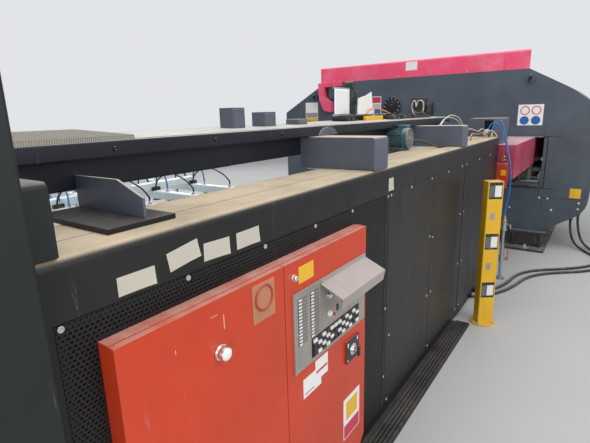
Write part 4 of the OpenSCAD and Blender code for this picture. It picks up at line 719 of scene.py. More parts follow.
def perforatedSheet(name, x0, x1, z0, z1):
    # Two hexagonal cells with round holes, repeated both ways and cut off at the region's sides
    pitch, hole, thick = loaderFront["pitch"], loaderFront["hole"], loaderFront["thick"]
    row = pitch * math.sqrt(0.75)
    deselect()
    bpy.ops.mesh.primitive_circle_add(vertices=12, radius=pitch / 2000)
    cell = bpy.context.object
    cell.name = name
    side, corner = pitch / 2000, pitch / math.sqrt(3) / 1000
    for i, vertex in enumerate(cell.data.vertices):
        turn = math.radians(30 * i)
        reach = corner if i % 2 else side
        vertex.co = (reach * math.cos(turn), 0, reach * math.sin(turn))
    bpy.ops.object.mode_set(mode="EDIT")
    bpy.ops.mesh.select_mode(type="EDGE")
    bpy.ops.mesh.select_all(action="SELECT")
    bpy.ops.mesh.extrude_edges_move()
    bpy.ops.object.mode_set(mode="OBJECT")
    for vertex in cell.data.vertices:
        if vertex.select:
            vertex.co = vertex.co.normalized() * hole / 1000
    bpy.ops.object.mode_set(mode="EDIT")
    bpy.ops.mesh.extrude_edges_move(TRANSFORM_OT_translate={"value": (0, thick / 1000, 0)})
    bpy.ops.mesh.select_all(action="SELECT")
    bpy.ops.mesh.normals_make_consistent(inside=False)
    bpy.ops.object.mode_set(mode="OBJECT")
    if sum(face.normal.y * face.area for face in cell.data.polygons) > 0:
        cell.data.flip_normals()
    other = copied(cell, name, (pitch / 2, 0, row))
    cell = gathered(name, [cell, other])
    for count, step in ((math.ceil((x1 - x0) / pitch) + 2, (pitch, 0, 0)),
                        (math.ceil((z1 - z0) / row / 2) + 2, (0, 0, 2 * row))):
        repeated(cell, count, step, use_merge_vertices=True, merge_threshold=0.00002)
    cell.location = ((x0 - pitch) / 1000, loaderFront["front"] / 1000, (z0 - row) / 1000)
    settle(cell)
    bpy.ops.object.mode_set(mode="EDIT")
    for spot, facing in (((x0, 0, 0), (-1, 0, 0)), ((x1, 0, 0), (1, 0, 0)), ((0, 0, z0), (0, 0, -1)),
                         ((0, 0, z1), (0, 0, 1))):
        bpy.ops.mesh.select_all(action="SELECT")
        bpy.ops.mesh.bisect(plane_co=Vector(spot) / 1000, plane_no=facing, clear_outer=True)
    bpy.ops.object.mode_set(mode="OBJECT")
    return dressed(cell, "frame", "black", 20)


def paperTag(name, x0, x1, z0, z1, tilt, front, lift=3.0):
    # A blank card whose lower corner curls a little off the metal
    deselect()
    bpy.ops.mesh.primitive_plane_add(size=1, rotation=(math.pi / 2, 0, 0))
    card = bpy.context.object
    card.scale = ((x1 - x0) / 1000, (z1 - z0) / 1000, 1)
    settle(card)
    bpy.ops.object.mode_set(mode="EDIT")
    bpy.ops.mesh.select_all(action="SELECT")
    bpy.ops.mesh.subdivide(number_cuts=7)
    bpy.ops.object.mode_set(mode="OBJECT")
    for vertex in card.data.vertices:
        away = max(0.0, 2 * (vertex.co.x * 1000 / (x1 - x0)) - vertex.co.z * 1000 / (z1 - z0) - 0.4)
        vertex.co.y -= lift / 1000 * away ** 2
    shaped(card, "SOLIDIFY", thickness=0.0004, offset=0)
    card.rotation_euler = (0, math.radians(-tilt), 0)
    card.location = ((x0 + x1) / 2000, front / 1000 - 0.0006, (z0 + z1) / 2000)
    settle(card)
    card.name = name
    return card


def addLoaderFront():
    plan = loaderFront
    front = plan["front"]
    for name, region in plan["perforated"].items():
        sheet = perforatedSheet(name, *region)
        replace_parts(sheet, "perforated_panel")
    # Near-black slabs just behind the perforated sheet: painted shade for the hollow loader seen through the holes
    left, right, low, high = plan["backing"]
    near, far = (front + depth for depth in plan["behind"])
    backing = [slab("paintedShadeBehindSheet", (max(x0, left), near, max(z0, low)), (min(x1, right), far, min(z1, high)))
               for x0, x1, z0, z1 in plan["perforated"].values()]
    built("paintedShadeBehindSheet", backing, "frame", "dark")
    sides = [slab("panel", (x0, front, plan["low"]), (x1, front + plan["panelThick"], plan["high"]), 1.4, 3)
             for x0, x1 in plan["panels"]]
    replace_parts(built("frontPanels", sides, "frame", "black"), "loader_panels")
    heads = [(x, front, z) for x, z in plan["screws"]]
    addBolts("panelScrews", plan["screw"], (0, -1, 0), heads, "frame")
    cards = [paperTag("tag", *tag, front) for tag in plan["tags"]]
    built("paperTags", cards, "frame", "paper", 60)
    print("stage: loader front")


addLoaderFront()


def tube(name, points, diameter, steps=6):
    # A round line through points, made a mesh
    route = smoothRoute([Vector(p) / 1000 for p in points], steps)
    pick(roundCurve(name, route, diameter / 1000, 2))
    bpy.ops.object.convert(target="MESH")
    return bpy.context.object


def stack(name, place, axis, rings, sides=32, edge=0.8):
    # Round steps one after another along an axis: (start, end, radius, end radius)
    place, axis = Vector(place), Vector(axis)
    return gathered(name, [turned(name, place + axis * a, place + axis * b, radius, sides, edge, tip)
                           for a, b, radius, tip in rings])


# The cabinet doors: knob, lock, plates and the main switch
doorFace = -1450
panelFace = -1456
doorPlan = {
    "knob": (-5854, 1080), "lock": (-5506, 1177), "switch": (-5102, 724), "ringPlate": (-5715, -5610, 1096, 1218),
    "plates": [("lockPlate", "right_door", -5478, -5386, 1145, 1205, 1.6, "yellow"),
               ("lowPlate", "right_door", -5168, -5021, 303, 503, 1.2, "white"),
               ("lowPlateField", "right_door", -5146, -5043, 392, 482, 1.5, "yellow"),
               ("lowPlateFoot", "right_door", -5164, -5025, 307, 372, 1.5, "crimson"),
               ("stepPlate", "right_door", -5465, -5345, 694, 772, 1.2, "white"),
               ("stepPlateHigh", "right_door", -5384, -5295, 722, 806, 1.4, "white"),
               ("stepPlateBand", "right_door", -5380, -5300, 752, 762, 1.7, "crimson"),
               ("stepPlateLine", "right_door", -5455, -5395, 706, 710, 1.5, "blackPlastic")],
    "scratches": [(-5833, 1160, 3, 42), (-6000, 1150, 2, 12), (-5868, 1190, 24, 1.6)],
}


def addDoorDetails():
    plan = doorPlan
    away = (0, -1, 0)
    x, z = plan["knob"]
    knob = stack("knobLeft", (x, doorFace, z), away, [(0.5, 4, 23, 23), (4, 16, 19, 20), (16, 25, 21, 19)])
    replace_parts(dressed(knob, "left_knob", "chrome"), "door_knob_left")
    dressed(domed("knobFace", (x, doorFace - 24.5, z), away, 17.5, 7, 28), "left_knob", "white", 60)
    x, z = plan["lock"]
    lock = [stack("lock", (x, doorFace, z), away, [(0, 3, 13, 13), (3, 12, 10.5, 10), (12, 14, 9, 7.5)]),
            slab("lock", (x - 1, doorFace - 20, z - 8), (x + 1, doorFace - 13, z + 8), 0.5)]
    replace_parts(built("lockCylinder", lock, "right_knob", "chrome"), "door_knob_right")
    for name, body, x0, x1, z0, z1, thick, paint in plan["plates"]:
        plate = slab(name, (x0, doorFace - thick, z0), (x1, doorFace, z1), 0.5)
        dressed(plate, body, paint)
    x0, x1, z0, z1 = plan["ringPlate"]
    plate = slab("ringPlate", (x0, doorFace - 1.6, z0), (x1, doorFace, z1), 0.6)
    dressed(plate, "left_door", "brown")
    centre = ((x0 + x1) / 2, doorFace - 1.6, z0 + 72)
    dressed(ring("ringOnPlate", centre, away, 39, 4.6), "left_door", "rust")
    marks = [slab("mark", (x - w / 2, doorFace - 0.25, z - h / 2), (x + w / 2, doorFace + 1, z + h / 2), 0.2)
             for x, z, w, h in plan["scratches"]]
    built("doorScratches", marks, "left_door", "paper")
    x, z = plan["switch"]
    square = slab("switchPlate", (x - 55, panelFace - 2.5, z - 50), (x + 59, panelFace + 1, z + 52), 1.6, 3)
    dressed(square, "right_door", "blackPlastic")
    slots = [slab("slot", (sx - 4, panelFace - 3.4, z + 25), (sx + 4, panelFace - 2, z + 43), 1)
             for sx in (x - 40, x + 42)]
    slots += [domed("slot", (sx, panelFace - 2.5, z - 38), away, 4, 2.2, 12) for sx in (x - 42, x + 46)]
    built("switchSlots", slots, "right_door", "white")
    stub = stack("switchStub", (x, panelFace, z), away, [(2, 6, 26, 26), (6, 9, 17, 16), (9, 28, 12, 12)])
    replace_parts(dressed(stub, "switch_handle", "chrome"), "main_switch")
    grip = outlined("switchGrip", [(x - 8, z - 24), (x + 8, z - 24), (x + 10, z + 24), (x - 10, z + 24)], "y",
                    panelFace - 37, panelFace - 27, 4)
    dressed(grip, "switch_handle", "blackPlastic")
    print("stage: door details")


# The panel: plate, lamps, keys, knobs, buttons and the hood above them
panelPlan = {
    "left": -5514, "right": -4990, "low": 820, "high": 1120,
    "lampTop": 1090, "lampPitch": 12.6, "lampColumns": (-5484, -5408), "lamps": 14, "fieldShift": 31,
    "keyLeft": -5406, "keyLow": 842, "keyStep": 29.5, "keyRow": 17.5, "keySize": (23, 8, 13.5),
    "key": (-5294, 1039), "whiteCap": (-5290, 966), "smallKnob": (-5246, 1016), "green": (-5221, 966),
    "stop": (-5173, 966), "redLamp": (-5255, 948), "hoodLeft": -5350, "hoodOut": 94,
}


def addPanelDetails():
    plan = panelPlan
    away = (0, -1, 0)
    low, high = (plan["left"], panelFace, plan["low"]), (plan["right"], doorFace, plan["high"])
    plate = slab("panelPlate", low, high, 1.5, 3)
    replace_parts(dressed(plate, "right_door", "panel"), "control_panel")
    left = plan["left"]
    rim = slab("panelRim", (left - 3, panelFace - 1.5, plan["low"]), (left + 3, doorFace, plan["high"]), 0.8)
    dressed(rim, "right_door", "hood")
    inset = slab("panelInset", (-5346, panelFace - 0.8, 924), (-5040, panelFace, 1098), 0.3)
    dressed(inset, "right_door", "panel")
    spots = [(x, panelFace, plan["lampTop"] - plan["lampPitch"] * i) for x in plan["lampColumns"]
             for i in range(plan["lamps"])]
    seat = slab("seat", (-10.5, -1.6, -5), (10.5, 0, 5), 0.8)
    dressed(spread(seat, "lampSeats", spots), "right_door", "blackPlastic")
    lens = slab("lens", (-8.5, -4.4, -3.2), (8.5, -1, 3.2), 1.4, 3)
    dressed(spread(lens, "lampLenses", spots), "right_door", "white")
    fields = [(x + plan["fieldShift"], y, z) for x, y, z in spots]
    field = slab("field", (-15, -0.5, -4.6), (15, 0, 4.6), 0.2)
    dressed(spread(field, "lampFields", fields), "right_door", "legend")
    sizeX, sizeY, sizeZ = plan["keySize"]
    for paint, start, name in (("blackPlastic", 0, "keysBlack"), ("white", 1, "keysWhite")):
        places = [(plan["keyLeft"] + plan["keyStep"] * i, panelFace, plan["keyLow"] + plan["keyRow"] * j)
                  for i in range(12) for j in range(4) if ((i + j) % 2 if i % 5 else j // 3) == start]
        key = slab("key", (0, -sizeY, 0), (sizeX, 0, sizeZ), 1.8, 3)
        pickFaces(key, lambda face: face.normal.y < -0.99)
        bpy.ops.mesh.inset(thickness=0.002)
        bpy.ops.mesh.extrude_region_move(TRANSFORM_OT_translate={"value": (0, 0.0012, 0)})
        bpy.ops.object.mode_set(mode="OBJECT")
        dressed(spread(key, name, places), "right_door", paint)
    tray = slab("keyTray", (-5414, panelFace - 1.2, 836), (-5046, panelFace, 914), 0.5)
    dressed(tray, "right_door", "dark")
    x, z = plan["whiteCap"]
    cap = stack("whiteButton", (x, panelFace, z), away, [(0, 5, 13, 13), (5, 11, 10, 9)])
    dressed(cap, "right_door", "white")
    x, z = plan["smallKnob"]
    pull = [stack("pull", (x, panelFace, z), away, [(0, 3, 12, 12), (3, 15, 8.5, 7.5)]),
            slab("pull", (x - 1, panelFace - 16, z + 2), (x + 1, panelFace - 14, z + 7), 0.4)]
    built("smallKnob", pull, "right_door", "blackPlastic")
    x, z = plan["redLamp"]
    lamp = stack("redLamp", (x, panelFace, z), away, [(0, 3, 7, 7), (3, 9, 5.5, 4)], 20)
    dressed(lamp, "right_door", "redPlastic")
    x, z = plan["key"]
    turnKey = [stack("key", (x, panelFace, z), away, [(0, 4, 13, 13), (4, 12, 10.5, 10)]),
               slab("key", (x - 1.4, panelFace - 34, z - 10), (x + 1.4, panelFace - 11, z + 10), 0.8)]
    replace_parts(built("turnKey", turnKey, "key", "chrome"), "key_switch")
    x, z = plan["green"]
    green = [slab("green", (x - 10, panelFace - 8, z - 10), (x + 10, panelFace - 2.6, z + 10), 2, 3),
             turned("green", (x, panelFace, z), (x, panelFace - 3, z), 9, 24)]
    green = built("greenButton", green, "green_button", "greenPlastic")
    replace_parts(green, "start_button")
    surround = slab("buttonFrame", (x - 14, panelFace - 2.5, z - 14), (x + 14, panelFace, z + 14), 1)
    dressed(surround, "right_door", "dark")
    x, z = plan["stop"]
    stop = stack("stopButton", (x, panelFace, z), away, [(7, 12, 12, 12), (12, 17, 17, 19), (17, 22, 19, 14)])
    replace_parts(dressed(stop, "stop_button", "redPlastic"), "emergency_button")
    dressed(ring("stopCollar", (x, panelFace - 1.5, z), away, 19, 2.6), "right_door", "yellow")
    corners = [(x, panelFace, z) for x in (-5502, -5002) for z in (832, 970, 1108)]
    corners += [(-5012, panelFace, 900), (-5330, panelFace, 1110), (-5180, panelFace, 828)]
    addBolts("panelScrews", (4.5, 2.4), away, corners, "right_door")
    addHood(plan)
    print("stage: panel details")


def addHood(plan):
    # A bent plate that slopes out over the buttons, with a folded lip, one cheek and a back strip
    x0, x1, top, out = plan["hoodLeft"], plan["right"], plan["high"] - 18, panelFace - plan["hoodOut"]
    bend = [(panelFace, top + 3.5), (panelFace, top), (out + 5, top - 39), (out + 11, top - 84),
            (out + 8, top - 84), (out, top - 41), (out + 1, top - 38)]
    cheek = [(panelFace, top), (out + 3, top - 40), (out + 10, top - 83), (panelFace, top - 30)]
    corner = [(out + 32, top - 27), (out + 3, top - 40), (out + 10, top - 83)]
    hood = [outlined("hood", bend, "x", x0, x1, 0.8), outlined("hood", cheek, "x", x1 - 2.5, x1, 0.6),
            outlined("hood", corner, "x", x0, x0 + 2.5, 0.5),
            slab("hood", (x0, panelFace - 2.2, top + 1), (x1, panelFace, top + 17), 0.6)]
    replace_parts(built("hoodPlate", hood, "right_door", "hood"), "panel_hood")
    screws = [(x, panelFace - 2.2, top + 9) for x in (x0 + 18, (x0 + x1) / 2, x1 - 18)]
    addBolts("hoodScrews", (4.5, 2.4), (0, -1, 0), screws, "right_door")


addDoorDetails()
addPanelDetails()


# Blocks, fin and beam with what stands on it
beamPlan = {
    "blocks": [(-6328, -6203), (-4767, -4617), (-3290, -3140)],
    "front": -1391, "back": -980, "low": 1438, "high": 1590,
    "finPlate": (-6054, -5854), "fin": -5934, "bellows": (-6370, -5755), "folds": 94, "cap": 1640, "foldTop": 30,
    "cloth": (-1036, -685), "droop": 17, "strip": (-1030, -676), "stripEnd": -2420,
    "boxes": [(-5130, -5046, 97), (-4906, -4814, 76), (-4621, -4528, 35)], "boxRow": (-870, -790),
    "hump": [(-4690, 1590), (-4497, 1590), (-4520, 1616), (-4553, 1629), (-4593, 1633), (-4634, 1629),
             (-4667, 1616)],
    "screws": (range(-6250, -2450, 420), 1615), "face": -1040,
}


def addBeamPieces():
    plan = beamPlan
    front, back, low, high = plan["front"], plan["back"], plan["low"], plan["high"]
    shape = [(front, low), (back, low), (back, high), (front + 14, high), (front + 4, high - 4), (front, high - 14)]
    blocks = [outlined("block", shape, "x", x0, x1, 4) for x0, x1 in plan["blocks"]]
    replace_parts(built("beamBlocks", blocks[1:], "frame", "block", 50), "beam_brackets")
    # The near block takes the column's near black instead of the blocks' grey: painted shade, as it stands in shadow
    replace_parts(built("beamBlockNearInShade", blocks[:1], "frame", "column", 50), "beam_brackets")
    x0, x1 = plan["finPlate"]
    plate = slab("finPlate", (x0, front + 73, low), (x1, back, low + 14), 1.5)
    dressed(plate, "frame", "black")
    x = plan["fin"]
    web = [(front + 98, low + 14), (back, low + 14), (back, high - 45), (front + 203, high - 45),
           (front + 98, low + 66)]
    dressed(outlined("finWeb", web, "x", x, x + 8, 1.2), "frame", "block")
    addFoldedCover(plan)
    y0, y1 = plan["strip"]
    cap = plan["cap"]
    profile = [(y0, cap), (y1, cap), (y1, cap + 12), (y0, cap + 1.5)]
    strip = outlined("beltCover", profile, "x", plan["bellows"][1], plan["stripEnd"], 0.6)
    dressed(strip, "frame", "beam")
    boxes, lids = [], []
    y0, y1 = plan["boxRow"]
    for x0, x1, height in plan["boxes"]:
        boxes.append(slab("box", (x0, y0, cap), (x1, y1, cap + height), 2.5))
        lids.append(slab("lid", (x0 + 6, y0 - 2.5, cap + 8), (x1 - 6, y0 + 1, cap + height - 8), 1))
        plug = [(0, 14, 11, 11), (14, 22, 8, 7)]
        boxes.append(stack("box", (x1 - 2, (y0 + y1) / 2, cap + height * 0.6), (1, 0, 0), plug, 18))
    face = plan["face"]
    boxes.append(outlined("box", plan["hump"], "y", face - 6, face + 2, 2))
    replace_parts(built("sensorBoxes", boxes, "frame", "block"), "beam_fittings")
    built("sensorLids", lids, "frame", "block")
    columns, z = plan["screws"]
    addBolts("beamScrews", (7, 4), (0, -1, 0), [(x, face, z) for x in columns], "frame", "beam")
    print("stage: beam")


def addFoldedCover(plan):
    # Narrow folds side by side, whose tops slope down towards the front
    x0, x1 = plan["bellows"]
    low, high = plan["cap"], plan["cap"] + plan["foldTop"]
    fold = (x1 - x0) / plan["folds"]
    outline = [(x1, low), (x0, low)]
    for i in range(plan["folds"]):
        outline += [(x0 + i * fold + 0.5, high - 6), (x0 + (i + 0.4) * fold, high), (x0 + (i + 0.6) * fold, high)]
    outline += [(x1 - 0.5, high - 6)]
    y0, y1 = plan["cloth"]
    folded = outlined("foldedCover", outline, "y", y0, y1)
    for vertex in folded.data.vertices:
        if vertex.co.z > (low + 5) / 1000:
            vertex.co.z -= plan["droop"] / 1000 * (y1 / 1000 - vertex.co.y) / ((y1 - y0) / 1000)
    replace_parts(dressed(folded, "frame", "bellows", 20), "beam_bellows")


# Far end of the beam: sign post with its sheets, rollers, valves and thin lines
farPlan = {
    "post": (-3924, -3862), "row": -800, "sheet": (-4112, -3926, 1695, 1850),
    "card": [(-3900, 1690), (-3715, 1688), (-3670, 1700), (-3696, 1838), (-3770, 1814), (-3893, 1792)],
    "rollers": [-4020, -3960, -3770, -3560, -3420], "postTop": 1896, "hub": (1752, 1842), "pins": (1772, 1810),
    "valves": [(-3510, 30), (-3430, 18), (-3330, 38), (-3180, 16), (-3090, 34), (-2960, 20), (-2870, 44),
               (-2740, 18)],
    "blocks": [(-2960, 50), (-2830, 80), (-2690, 60), (-2500, 74), (-2330, 58)], "blockRow": (-1150, -1090),
    "blockFoot": 1438, "cardFeet": [(-3760, 1700), (-3660, 1692)], "yellowCap": (-3835, -3560),
    "knot": (-2070, -1290, 1470),
    "arcs": [
        ("paleHose", 8, [(-3050, -1150, 1442), (-3040, -1150, 1540), (-2990, -1150, 1610), (-2800, -1150, 1656),
            (-2560, -1150, 1640), (-2400, -1150, 1580), (-2340, -1150, 1500), (-2320, -1150, 1442)]),
        ("paleHose", 8, [(-2990, -1120, 1442), (-2970, -1120, 1560), (-2880, -1120, 1620), (-2700, -1120, 1640),
            (-2460, -1120, 1610), (-2300, -1120, 1540), (-2260, -1120, 1442)]),
        ("hose", 8, [(-2950, -1090, 1442), (-2930, -1090, 1560), (-2840, -1090, 1590), (-2700, -1090, 1600),
            (-2580, -1090, 1560), (-2530, -1090, 1480), (-2520, -1090, 1442)]),
        ("paleHose", 7, [(-2540, -1180, 1442), (-2500, -1200, 1500), (-2400, -1220, 1530), (-2300, -1240, 1515),
            (-2200, -1250, 1500), (-2120, -1260, 1520), (-2060, -1280, 1500), (-2040, -1300, 1442)]),
        ("brass", 7, [(-2460, -1240, 1442), (-2420, -1250, 1490), (-2330, -1270, 1480), (-2200, -1290, 1490),
            (-2090, -1310, 1478), (-2070, -1310, 1442)]),
        ("cable", 9, [(-2560, -1270, 1442), (-2500, -1270, 1480), (-2380, -1290, 1476), (-2250, -1310, 1466),
            (-2150, -1320, 1474), (-2110, -1330, 1442)]),
        ("hose", 9, [(-2030, -1300, 1442), (-2030, -1304, 1520), (-2024, -1330, 1566), (-2016, -1376, 1566),
            (-2010, -1410, 1530), (-2004, -1440, 1450), (-1996, -1470, 1340), (-1990, -1498, 1220),
            (-1984, -1516, 1100), (-1980, -1520, 980), (-1974, -1512, 860), (-1964, -1500, 760), (-1955, -1490, 690),
            (-1952, -1488, 620)]),
        ("paleHose", 7, [(-2080, -1290, 1442), (-2076, -1300, 1490), (-2062, -1340, 1500), (-2050, -1372, 1470),
            (-2044, -1384, 1446)]),
        ("cable", 14, [(-3600, -1140, 1500), (-3560, -1180, 1496), (-3500, -1230, 1470), (-3440, -1260, 1450),
            (-3380, -1270, 1445), (-3300, -1275, 1445)]),
        ("orangeHose", 9, [(-3800, -880, 1690), (-3740, -880, 1722), (-3600, -880, 1722), (-3420, -880, 1690),
            (-3280, -880, 1662), (-3220, -880, 1642)]),
    ],
}


def addFarEnd():
    plan = farPlan
    row, cap = plan["row"], beamPlan["cap"]
    addSignPost(plan, row, cap)
    card = outlined("tiltedCard", plan["card"], "y", row - 62, row - 54, 1)
    dressed(card, "frame", "white")
    feet = [slab("foot", (x, row - 58, cap), (x + 20, row - 46, top), 1.5) for x, top in plan["cardFeet"]]
    built("cardFeet", feet, "frame", "zinc")
    x0, x1 = plan["yellowCap"]
    dressed(slab("yellowCap", (x0, row - 92, cap), (x1, row - 66, cap + 36), 5, 3), "frame", "yellow")
    valves = []
    for x, height in plan["valves"]:
        valves += [slab("valve", (x, row - 150, cap), (x + 62, row - 96, cap + height), 4),
                   stack("valve", (x + 20, row - 124, cap + height), (0, 0, 1), [(0, 12, 10, 8), (12, 20, 6, 6)], 16),
                   stack("valve", (x + 62, row - 122, cap + 20), (1, 0, 0), [(0, 16, 8, 8)], 16)]
    (y0, y1), foot = plan["blockRow"], plan["blockFoot"]
    valves += [slab("valve", (x, y0, foot), (x + 46, y1, foot + height), 4) for x, height in plan["blocks"]]
    built("valveRow", valves, "frame", "blackPlastic")
    x, y, z = plan["knot"]
    knots = [ring("knot", (x + 14 * i, y + 8 * (i % 2), z + 9 * (i % 3)), (0.4 * (i % 3), 1, 0.5), 30 - 3 * i,
                  4.5, 24) for i in range(5)]
    built("hoseKnot", knots, "frame", "paleHose")
    for i, (paint, size, points) in enumerate(plan["arcs"]):
        dressed(tube("airLine%d" % (i + 1), points, size), "frame", paint, 60)
    print("stage: far end")


def addSignPost(plan, row, cap):
    # Square post with its foot, hub, pins and round head, rollers beside it and the sheet in its holder
    x0, x1 = plan["post"]
    low, high = plan["hub"]
    post = [slab("post", (x0, row - 22, cap), (x1, row + 22, plan["postTop"]), 4),
            slab("post", (x0 - 20, row - 40, cap), (x1 + 24, row + 40, cap + 14), 2),
            slab("post", (x1 - 10, row - 26, low), (x1 + 34, row + 26, high), 4)]
    post += [slab("post", (x1 + 20, row - 6, z), (x1 + 70, row + 6, z + 14), 3) for z in plan["pins"]]
    post.append(stack("post", (x0 + 26, row - 30, plan["postTop"] - 18), (0, 1, 0), [(0, 60, 26, 26)], 28, 2))
    post += [stack("post", (x, row - 60, cap + 26), (0, 1, 0), [(0, 120, 25, 25)], 24, 3) for x in plan["rollers"]]
    built("signPost", post, "frame", "blackPlastic")
    left, right, low, high = plan["sheet"]
    holder = slab("sheetHolder", (left, row - 8, low), (right, row - 2, high), 1)
    dressed(holder, "frame", "paleBlue")
    face = paperTag("holderSheet", left + 14, right - 12, low + 12, high - 10, 0, row - 9, 2)
    dressed(face, "frame", "white", 60)
    arms = [slab("arm", (left - 6, row - 4, z), (x0 + 4, row + 6, z + 10), 2) for z in (low - 12, high)]
    arms += [slab("arm", (right - 2, row - 12, low - 12), (x0 + 2, row + 10, high + 10), 2)]
    built("holderArms", arms, "frame", "zinc")


addBeamPieces()
addFarEnd()

# Light barrier post: windows with dark bands, cap screws and floor bolts, laid out square and then turned
postPlan = {
    "place": (-3045, -1577), "turn": 36.5, "top": 1170, "foot": 14,
    "windows": (300, 700, 1100), "half": 50, "tall": 64,
    "face": (-45.2, -39), "pane": (-43, -39), "light": (-42, -39), "bolts": 78, "blanks": (470, 872),
}


def turnedOnPost(piece):
    # From the post's own axes to the floor plan
    piece.data.transform(Matrix.Translation((postPlan["place"][0] / 1000, postPlan["place"][1] / 1000, 0))
                         @ Matrix.Rotation(math.radians(postPlan["turn"]), 4, "Z"))
    return piece


def addPostDetails():
    plan = postPlan
    half, tall = plan["half"], plan["tall"]
    (out, back), pane, light = plan["face"], plan["pane"], plan["light"]
    bands, panes, lights, rims = [], [], [], []
    for z in plan["windows"]:
        low, high = z - tall, z + tall
        panes.append(slab("pane", (pane[0], 4, low + 15), (pane[1], half, high - 22), 0.6))
        lights.append(slab("light", (light[0], -half, low + 15), (light[1], 4, high - 22), 0.6))
        bands.append(slab("band", (out, -half, high - 24), (back, half, high), 0.8))
        bands.append(slab("band", (out, -half, low), (back, half, low + 16), 0.8))
        rims += [slab("rim", (out, y - 1.5, low), (back, y + 1.5, high), 0.6) for y in (-half, half)]
    for name, parts, paint in (("postPanes", panes, "glass"), ("postLights", lights, "white"),
                               ("postBands", bands, "blackPlastic"), ("postRims", rims, "dark")):
        dressed(turnedOnPost(gathered(name, parts)), "frame", paint)
    up = (0, 0, 1)
    heads = [(x, y, plan["top"]) for x, y in ((-30, -44), (-30, 44), (30, -44), (30, 44))]
    heads = spread(boltHead(4.5, 2.5, up), "postScrews", heads)
    dressed(turnedOnPost(heads), "frame", "zinc")
    reach = plan["bolts"]
    spots = [(reach * math.cos(turn), reach * math.sin(turn), plan["foot"])
             for turn in (math.radians(angle) for angle in (45, 135, 225, 315))]
    bolts = gathered("postBolts", [spread(boltHead(10, 8, up), "bolt", spots),
                                   spread(turned("bolt", (0, 0, 0), (0, 0, 2.5), 13, 20), "bolt", spots)])
    dressed(turnedOnPost(bolts), "frame", "zinc")
    blanks = [slab("blank", (-46.6, -8, z), (-46, 30, z + 56), 0.3) for z in plan["blanks"]]
    dressed(turnedOnPost(gathered("postBlanks", blanks)), "frame", "hood")
    print("stage: light post")


# Near side of the bridge frame: plates, bolts, flange, line loops and the edge trim of the throat
framePlan = {
    "face": -600,
    "plates": [("signWhite", -1599, -1329, 1498, 1740, 1.5, "white"),
               ("squareYellow", -2071, -1960, 655, 768, 8.6, "yellow"),
               ("noticeWhite", 457, 654, 1668, 1918, 1.5, "white"),
               ("noticeRed", 465, 646, 1828, 1910, 2.2, "crimson"),
               ("noticeBlue", 465, 560, 1676, 1742, 2.2, "blueField"),
               ("noticeBlueHigh", 465, 646, 1752, 1816, 2.2, "paper"),
               ("cardWhite", 1523, 1753, 1640, 1874, 1.5, "white"),
               ("cardGrey", 1531, 1745, 1646, 1716, 2.2, "panel"),
               ("cardYellow", 1523, 1753, 1594, 1638, 1.5, "yellow")],
    "cover": (-53, 106, 2237, 2346),
    "rings": [(-1403, 1673), (-1525, 1673)], "discs": [(-1403, 1556), (-1525, 1556)],
    "bolts": [(-1650, 634), (-1739, 629), (-2062, 599), (-2060, 527), (-1790, 492), (-1331, 483), (-1319, 203)],
    "coverScrews": [(y, 2172) for y in (-1290, -1180, -1090, -700, -250, 200, 650, 1140, 1225, 1400)],
    "flange": (285, 1772), "flangeBolts": 106, "unit": (-206, -6, 1634, 1872), "box": (-294, -218, 1646, 1799),
    "throat": (-1680, 1710, 750, 1370), "corner": 50, "brush": (-1630, -1062),
    "eyes": ((-1430, 2040), (1560, 1950)),
}


def addLineUnit(plan):
    # Two black housings with a pair of lines looped over the larger one
    face = plan["face"]
    y0, y1, z0, z1 = plan["unit"]
    unit = slab("loopUnit", (face - 34, y0, z0), (face, y1, z1), 8, 3)
    y0, y1, z0, z1 = plan["box"]
    box = slab("loopUnit", (face - 58, y0, z0), (face, y1, z1), 5, 3)
    built("loopUnit", [unit, box], "frame", "blackPlastic")
    loops = []
    for shift, out in ((0, 46), (5, 62)):
        route = [(-176, 1690), (-184 + shift, 1750), (-176, 1812), (-140, 1842 - shift), (-100, 1822),
                 (-84 + shift, 1760), (-70, 1822), (-44, 1840 - shift), (-26, 1800), (-24, 1740), (-44, 1680)]
        arch = [(face - out, y, z) for y, z in route]
        loops.append(tube("loop", [(face - 20, -150, 1660 + shift), *arch, (face - 20, -70, 1660)], 11))
    built("lineLoops", loops, "frame", "paleHose", 60)


